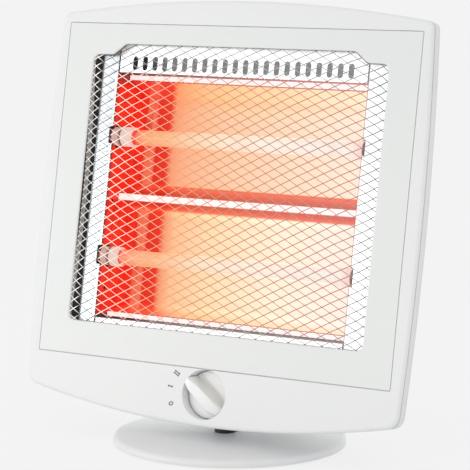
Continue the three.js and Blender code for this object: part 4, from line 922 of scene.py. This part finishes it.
TUBE_REDS = {"upper": [(-88.5, 232, 48, 30), (-85.5, 238, 124, 84), (-80, 240, 160, 108)],
             "lower": [(-91.2, 226, 50, 34), (-90.2, 238, 124, 96), (-80, 240, 164, 122)]}
coil_finish = glowing("hot resistance wire", 1.0, 0.5, (-107, 255, 120, 60), (107, 255, 190, 120))
# Painted light and shade on the caps: the tubes' light is painted into their colour and glow, with
# painted shade on their outer ends beyond the end walls and in a narrow band near the left end.
ceramic_glow = glowing(
    "ceramic cap in the glow", 0.8, 0.5, (-116, 60, 40, 38), (-108.7, 84, 58, 54),
    (-107.8, 200, 172, 164), (-102.6, 190, 166, 158), (-102.2, 84, 60, 56), (-100.7, 84, 60, 56),
    (-100.3, 212, 203, 196), (-94, 224, 210, 200), (-90, 226, 196, 184), (90, 252, 244, 232),
    (100, 252, 238, 228), (103, 250, 216, 208), (106, 250, 226, 216), (106.4, 120, 84, 82),
    (107.4, 150, 116, 114), (107.8, 112, 80, 78), (116, 96, 60, 56))
CAP_MOUTHS = {"upper": {"left": 89.9, "right": 92.5}, "lower": {"left": 91.9, "right": 92.5}}
COIL_TURNS, STEPS_PER_TURN, COIL_RADIUS, COIL_WIRE, COIL_END = 74, 14, 3.4, 0.5, 100
for name, up in TUBES:
    def along_tube(a, b, along, up=up):
        return along, TUBE_DEPTH + a, up + b

    tube = Blank()
    tube.turn([(4.9, -102.9), (5.7, -102.9), (5.9, -102.7), (5.9, 102.7), (5.7, 102.9),
               (4.9, 102.9)], along_tube, 48)
    quartz = glowing(f"glowing quartz, {name}", 0.82, 0.2, (-107, 226, 40, 26), *TUBE_REDS[name],
                     (-60, 242, 184, 130), (-20, 250, 226, 194), (30, 250, 240, 226),
                     (107, 244, 238, 230))
    add_to_head(f"glowing_tube_{name}", tube, quartz, "quartz", f"quartz_tube_{name}")

    coil, rings, steps = Blank(), [], COIL_TURNS * STEPS_PER_TURN
    for step in range(steps + 1):
        angle = 2 * pi * step / STEPS_PER_TURN
        x = -COIL_END + 2 * COIL_END * step / steps
        wire = [(COIL_RADIUS - COIL_WIRE + COIL_WIRE * cos(a), x + COIL_WIRE * sin(a))
                for a in around(5)]
        rings.append([along_tube(reach * cos(angle), reach * sin(angle), place)
                      for reach, place in wire])
    coil.solid(rings)
    for side in (-1, 1):
        coil.turn([(0.02, side * 99.5), (0.9, side * 99.5), (0.9, side * 118), (0.02, side * 118)],
                  along_tube, 12, hollow=False)
    add_to_head(f"wire_coil_{name}", coil, coil_finish, "resistance_wire", f"heating_coil_{name}")

    for side, side_name in ((-1, "left"), (1, "right")):
        cap, mouth = Blank(), CAP_MOUTHS[name][side_name]
        cap.turn([(radius, side * x) for radius, x in (
            (6.2, 103.4), (6.2, mouth + 0.4), (6.6, mouth), (7.1, mouth), (7.45, mouth + 0.4),
            (7.5, mouth + 1.1), (7.5, 100.2), (7.2, 100.5), (6.6, 100.7), (6.6, 101.8),
            (6.9, 102.0), (7.1, 102.3), (7.1, 108.0), (6.8, 108.4), (5.2, 108.6), (5.0, 108.9),
            (5.0, 115.7), (4.7, 116), (1.2, 116), (1.2, 103.6))], along_tube, 48)
        add_to_head(f"ceramic_cap_{name}_{side_name}", cap, ceramic_glow, "ceramic",
                    f"tube_cap_{name}_{side_name}")
refinish(zinc, *four("tube_clip"))


# Wire guard: two layers of thin bright wire crossed in flat diamonds and welded. The net is
# flat across the opening and bends back all round into a rim held behind the panel.
def bright_wire(name, bare_stops, warm_stops):
    """Plated wire with painted reflections by its place: pale and grey before the strips, red before
    the tubes.
    """
    made = metal(name, (200, 198, 196), 0.22, 0.2, 900, metallic=0.7)
    nodes = made.node_tree
    spot = head_spot(nodes)
    before_tubes = calc(nodes, "MULTIPLY",
                        between(nodes, spot["Across"], -105.1, -104.1, 109.4, 108.4),
                        between(nodes, spot["Up"], -97.0, -96.0, 89.8, 88.8))
    bare, warm = (ramp(nodes, spot["Across"], *stops) for stops in (bare_stops, warm_stops))
    # Painted glint: the wire glows white where it crosses the dark gap at the left, and lit is
    # painted red light before the tubes.
    glint = ramp(nodes, spot["Across"], (-127, 255, 255, 253), (-121, 245, 245, 243), (-118.4, 0),
                 (127, 0))
    lit = ramp(nodes, spot["Across"], (-107, 235, 190, 180), (-84, 225, 165, 150),
               (-58, 165, 112, 96), (-10, 96, 60, 48), (112, 60, 40, 36))
    on_shader(made, {"Base Color": blend(nodes, before_tubes, bare, warm), "Emission Strength": 0.6,
                     "Emission Color": blend(nodes, before_tubes, glint, lit)})
    return made


# Painted highlight: the wires are painted near white at the far left, and darker towards the right
# edge.
BARE_END = [(-127, 250, 249, 247), (-119.6, 214, 214, 213)]
rising_wire = bright_wire(
    "bright wire, rising", BARE_END + [
        (-117, 126, 128, 130), (-105, 104, 105, 110), (0, 186, 187, 188), (108, 160), (127, 112)],
    [(-107, 252, 232, 224), (-84, 246, 206, 192), (-58, 232, 170, 148), (-10, 204, 146, 120),
     (112, 194, 132, 124)])
falling_wire = bright_wire(
    "bright wire, falling", BARE_END + [
        (-117, 182, 184, 186), (-105, 166, 168, 172), (0, 196, 197, 198), (108, 170), (127, 112)],
    [(-107, 250, 222, 214), (-84, 240, 190, 174), (-58, 228, 172, 148), (-10, 208, 158, 132),
     (112, 204, 150, 138)])
CELL_WIDTH, CELL_HEIGHT = 13.597, 7.178


def held(value, low=0, high=1):
    return min(max(value, low), high)


def wire_height(x, number, lean):
    """How far up a wire of the net lies at a place across it; the net sags a little."""
    up = 0.0
    for _ in range(6):
        a, b = x / 100, up / 100
        column = (x - 5.39 + 1.09 * b - 4.4 * b * b - 0.44 * a * b - 1.92 * a * a
                  + 0.53 * a * b * b - 0.75 * a * a * b)
        row = 1.42 + 1.57 * a + 1.17 * a * b + 0.76 * b ** 3 + 0.34 * a * a * b - 0.24 * a * b * b
        up = CELL_HEIGHT * (number + lean * column / CELL_WIDTH) - row
    share = held((x - 96) / 20)
    return up - 0.6 * share * share * (3 - 2 * share)


def outline_gap(outline, x, up):
    """How far a point lies inside an outline, less than nothing outside it."""
    ends = np.array(outline)
    starts = np.roll(ends, 1, axis=0)
    runs = ends - starts
    offs = np.array([x, up]) - starts
    share = np.clip((offs * runs).sum(1) / np.maximum((runs ** 2).sum(1), 1e-9), 0, 1)
    gap = np.min(np.linalg.norm(offs - runs * share[:, None], axis=1))
    rise = np.where(runs[:, 1] == 0, 1e-9, runs[:, 1])
    crossed = ((starts[:, 1] > up) != (ends[:, 1] > up)) & (
        x < starts[:, 0] + (up - starts[:, 1]) * runs[:, 0] / rise)
    return gap if crossed.sum() % 2 else -gap


def sweep(blank, line, radius):
    """A round wire along a line of points, closed at both ends."""
    rings = []
    for at, point in enumerate(line):
        run = heading(line, at)
        across = run.cross(Vector((0, 1, 0))).normalized()
        other = run.cross(across)
        rings.append([tuple(Vector(point) + radius * (cos(a) * across + sin(a) * other))
                      for a in around(6)])
    blank.solid(rings)


def net_depth(x, up, inside):
    """How far back the net lies: it bends in at its rim, and bows back towards its left side."""
    back = 1 - held((inside - 1) / 13)
    left = max(-x - 84, 0)
    bow = 0.15 * left ** 2 / (left + 6) * (1 - 0.7 * min(abs(up) / 78, 1.2) ** 2)
    return -0.55 + 2.9 * back ** 2 + bow + 0.0035 * max(-x - 108, 0) ** 2


net_edge = opening_outline(2.0, aside=3.0)
WIRE_STEP, HALF_STEPS, STRAIGHT = 0.985, 134, radians(1.6)
NET_LOW, NET_HIGH, FIRST_WIRE, LAST_WIRE = -108, 118, -26, 29
for name, lean, layer, wire, finish, stands_for in (
        ("wire_guard", 1, -0.15, 0.33, rising_wire, ("mesh_guard",)),
        ("guard_back_wires", -1, 0.15, 0.27, falling_wire, ())):
    net = Blank()
    for number in range(FIRST_WIRE, LAST_WIRE + 1):
        lines, run = [], []
        for step in range(-HALF_STEPS, HALF_STEPS + 1):
            x = step * WIRE_STEP
            up = wire_height(x, number, lean)
            x -= 1.9 * (held(x - 112, 0, 14) / 13) ** 3
            inside = NET_LOW < up < NET_HIGH and outline_gap(net_edge, x, up)
            if inside and inside > 0:
                run.append((x, layer + net_depth(x, up, inside), up))
            elif run:
                lines.append(run)
                run = []
        for run in lines + [run]:
            if len(run) < 3:
                continue
            kept = [run[0]]
            for at in range(1, len(run) - 1):
                before, here, after = Vector(kept[-1]), Vector(run[at]), Vector(run[at + 1])
                if (here - before).angle(after - here, 0) > STRAIGHT:
                    kept.append(run[at])
            sweep(net, kept + [run[-1]], wire)
    add_to_head(name, net, finish, "bright_wire", *stands_for, crease=70)

# Painted light on the guard's rim: it glows pale at the left, where it lies in the dark gap, fading
# to dark grey towards the middle.
rim_with_painted_light = metal("guard rim", (120, 118, 115), 0.4, 0.2, 900, metallic=0.3, glow=0.8)
nodes = rim_with_painted_light.node_tree
on_shader(rim_with_painted_light, {"Emission Color": ramp(nodes, head_spot(nodes)["Across"],
                                              (-131, 136, 133, 129), (-126, 136, 133, 129),
                                              (-112, 46))})


def with_more_points(outline):
    """The outline with points added along its four long runs, so that it can bend in depth."""
    split = []
    for start, end in zip(outline, outline[1:] + outline[:1]):
        parts = 24 if dist(start, end) > 50 else 1
        split += [tuple(Vector(start).lerp(Vector(end), step / parts)) for step in range(parts)]
    return split


rim = Blank()
loops = [rim.ring([(x, net_depth(x, up, 0) + drop, up)
                   for x, up in with_more_points(opening_outline(margin, aside=aside))])
         for margin, aside, drop in ((2.1, 2.9, 0.3), (2.1, 2.9, 0.9), (-0.15, 0.75, 0.9),
                                     (-0.15, 0.75, 0.3))]
rim.wrap(loops + loops[:1])
add_to_head("guard_rim", rim, rim_with_painted_light, "bright_wire", crease=70)


# Knob: a round white moulding sunk in its cup, scooped on both sides of a raised ridge that
# runs across it in a slight curve and points at the setting. It turns on the switch's shaft.
# The knob's white is set lighter than the casing's: painted light that makes up for the shade in its
# deep cup.
knob_white = plastic("knob white", (250, 250, 249), (247,), gloss=0.2, spread=0.1)
POINTER, KNOB_STEPS, FACE_RINGS = radians(141), 144, 34
FACE_RADIUS, RIM_RADIUS, SIDE_RADIUS, LOWEST_RIM, KNOB_BACK = 17.1, 17.3, 17.6, 9.2, 10.0
nodes = knob_white.node_tree
spot = head_spot(nodes)
over = calc(nodes, "MULTIPLY_ADD", spot["Up"], cos(POINTER), -KNOB_UP * cos(POINTER))
aside = calc(nodes, "MULTIPLY_ADD", spot["Across"], -sin(POINTER), over)
# Painted shade: the steep flank beside the ridge is painted darker, standing in for the shade that
# falls on it.
flank_painted_shade = between(nodes, aside, -1.8, -3.2, -8.6, -6.2, most=0.9)
skin = nodes.nodes["Principled BSDF"].inputs["Base Color"].links[0].from_socket
on_shader(knob_white, {"Base Color": blend(nodes, flank_painted_shade, skin, shade(227, 226, 221))})


def knob_face(x, up):
    """How far back from the casing's face the knob's surface lies at a point."""
    along = x * cos(POINTER) + up * sin(POINTER)
    aside = -x * sin(POINTER) + up * cos(POINTER)
    reach = hypot(x, up) / RIM_RADIUS
    share = held((along + RIM_RADIUS) / (2 * RIM_RADIUS))
    curve = 2.4 * sin(pi * min(share + 0.05, 1))
    off = aside + 0.3 + curve
    if off < 0:
        wall = min(-off / (2.6 + 1.2 * (1 - share)), 1)
        low = 6.8 + 1.2 * sin(pi * min(-off / 14, 1)) * (1 - reach ** 4) + 1.8 * reach ** 4
    else:
        wall = held((off - 5.4 - curve + 2.2 * abs(2 * share - 1) ** 4) / 4.6)
        low = 5.2 + 3.4 * reach ** 4
    ridge = 1 - wall * wall * (3 - 2 * wall)
    top = -3.8 + 4.6 * (1 - share) ** 4 + 5.0 * max(reach - 0.6, 0) ** 2
    return low + (top - low) * ridge


knob, rings = Blank(), []
for step in range(1, FACE_RINGS + 1):
    disc = circle(0, 0, FACE_RADIUS * sin(pi / 2 * step / FACE_RINGS) ** 0.85, KNOB_STEPS)
    rings.append(knob.ring([(x, knob_face(x, up), KNOB_UP + up) for x, up in disc]))
disc = circle(0, 0, FACE_RADIUS, KNOB_STEPS)
for radius, drop in ((17.35, 0.14), (SIDE_RADIUS, 0.5)):
    rings.append(knob.ring([(x, min(knob_face(*inner) + drop, LOWEST_RIM), up) for (x, up), inner
                            in zip(circle(0, KNOB_UP, radius, KNOB_STEPS), disc)]))
rings.append(knob.ring(at_depth(circle(0, KNOB_UP, SIDE_RADIUS, KNOB_STEPS), KNOB_BACK)))
knob.wrap(rings)
middle = knob.ring([(0, knob_face(0, 0), KNOB_UP)])[0]
for at in range(KNOB_STEPS):
    knob.faces.append((rings[0][at], rings[0][(at + 1) % KNOB_STEPS], middle))
knob.fill(rings[-1])
add_to_head("setting_knob", knob, knob_white, "knob", "knob", body="knob", crease=60)
refinish(zinc, "switch_shaft")


# Setting marks: small grey strokes printed on the casing beside the knob, each turned to face
# it, nought, one and two bars for off and the two heats.
ink = plastic("grey print", (66, 66, 68), (56, 56, 58), gloss=0.5, grain=900)
PRINT_BACK, PRINT_FRONT, HALF_STROKE, HALF_END = 0.05, -0.08, 0.34, 0.25


def printed(outline, at):
    """The two rings of a thin printed shape, drawn upright and then turned to face the knob."""
    angle = atan2(at[1] - KNOB_UP, at[0]) - pi / 2
    return [[(at[0] + x * cos(angle) - up * sin(angle), depth,
              at[1] + x * sin(angle) + up * cos(angle)) for x, up in outline]
            for depth in (PRINT_BACK, PRINT_FRONT)]


def stroke(left, right, low, high):
    return [(left, low), (right, low), (right, high), (left, high)]


marks = Blank()
for bars, wide, tall, at in (((0.0,), 0.8, 1.95, (-29.1, -142.8)),
                             ((-0.85, 0.85), 1.65, 2.35, (-24.5, -132.7))):
    for bar in bars:
        marks.solid(printed(stroke(bar - HALF_STROKE, bar + HALF_STROKE, -tall, tall), at))
    for end in (HALF_END - tall, tall - HALF_END):
        marks.solid(printed(stroke(-wide, wide, end - HALF_END, end + HALF_END), at))
outer, inner = ([marks.ring(points) for points in printed(
    [(wide * cos(a), tall * sin(a)) for a in around(32)], (-27.2, -155.5))]
    for wide, tall in ((1.5, 2.0), (0.85, 1.35)))
marks.wrap(outer)
marks.wrap(inner)
for loops in zip(outer, inner):
    marks.fill(*loops)
add_to_head("setting_marks", marks, ink, None)


# Works behind the reflector: rotary switch, tip-over switch, thermal cutout, terminal block and
# the leads between them, seen only through the slots of the rear cover.
ceramic = plastic("ceramic", (232, 226, 218), (216, 208, 200), gloss=0.5, grain=300, relief=0.06)
insulation = plastic("lead insulation", (226, 220, 204), (212, 206, 190), gloss=0.5, grain=400)
refinish(black, "rotary_switch", "tip_over_switch")
refinish(ceramic, "terminal_block")
refinish(zinc, "thermal_cutout")
refinish(insulation, "lead_jumper", "lead_upper", "lead_lower", "lead_supply")
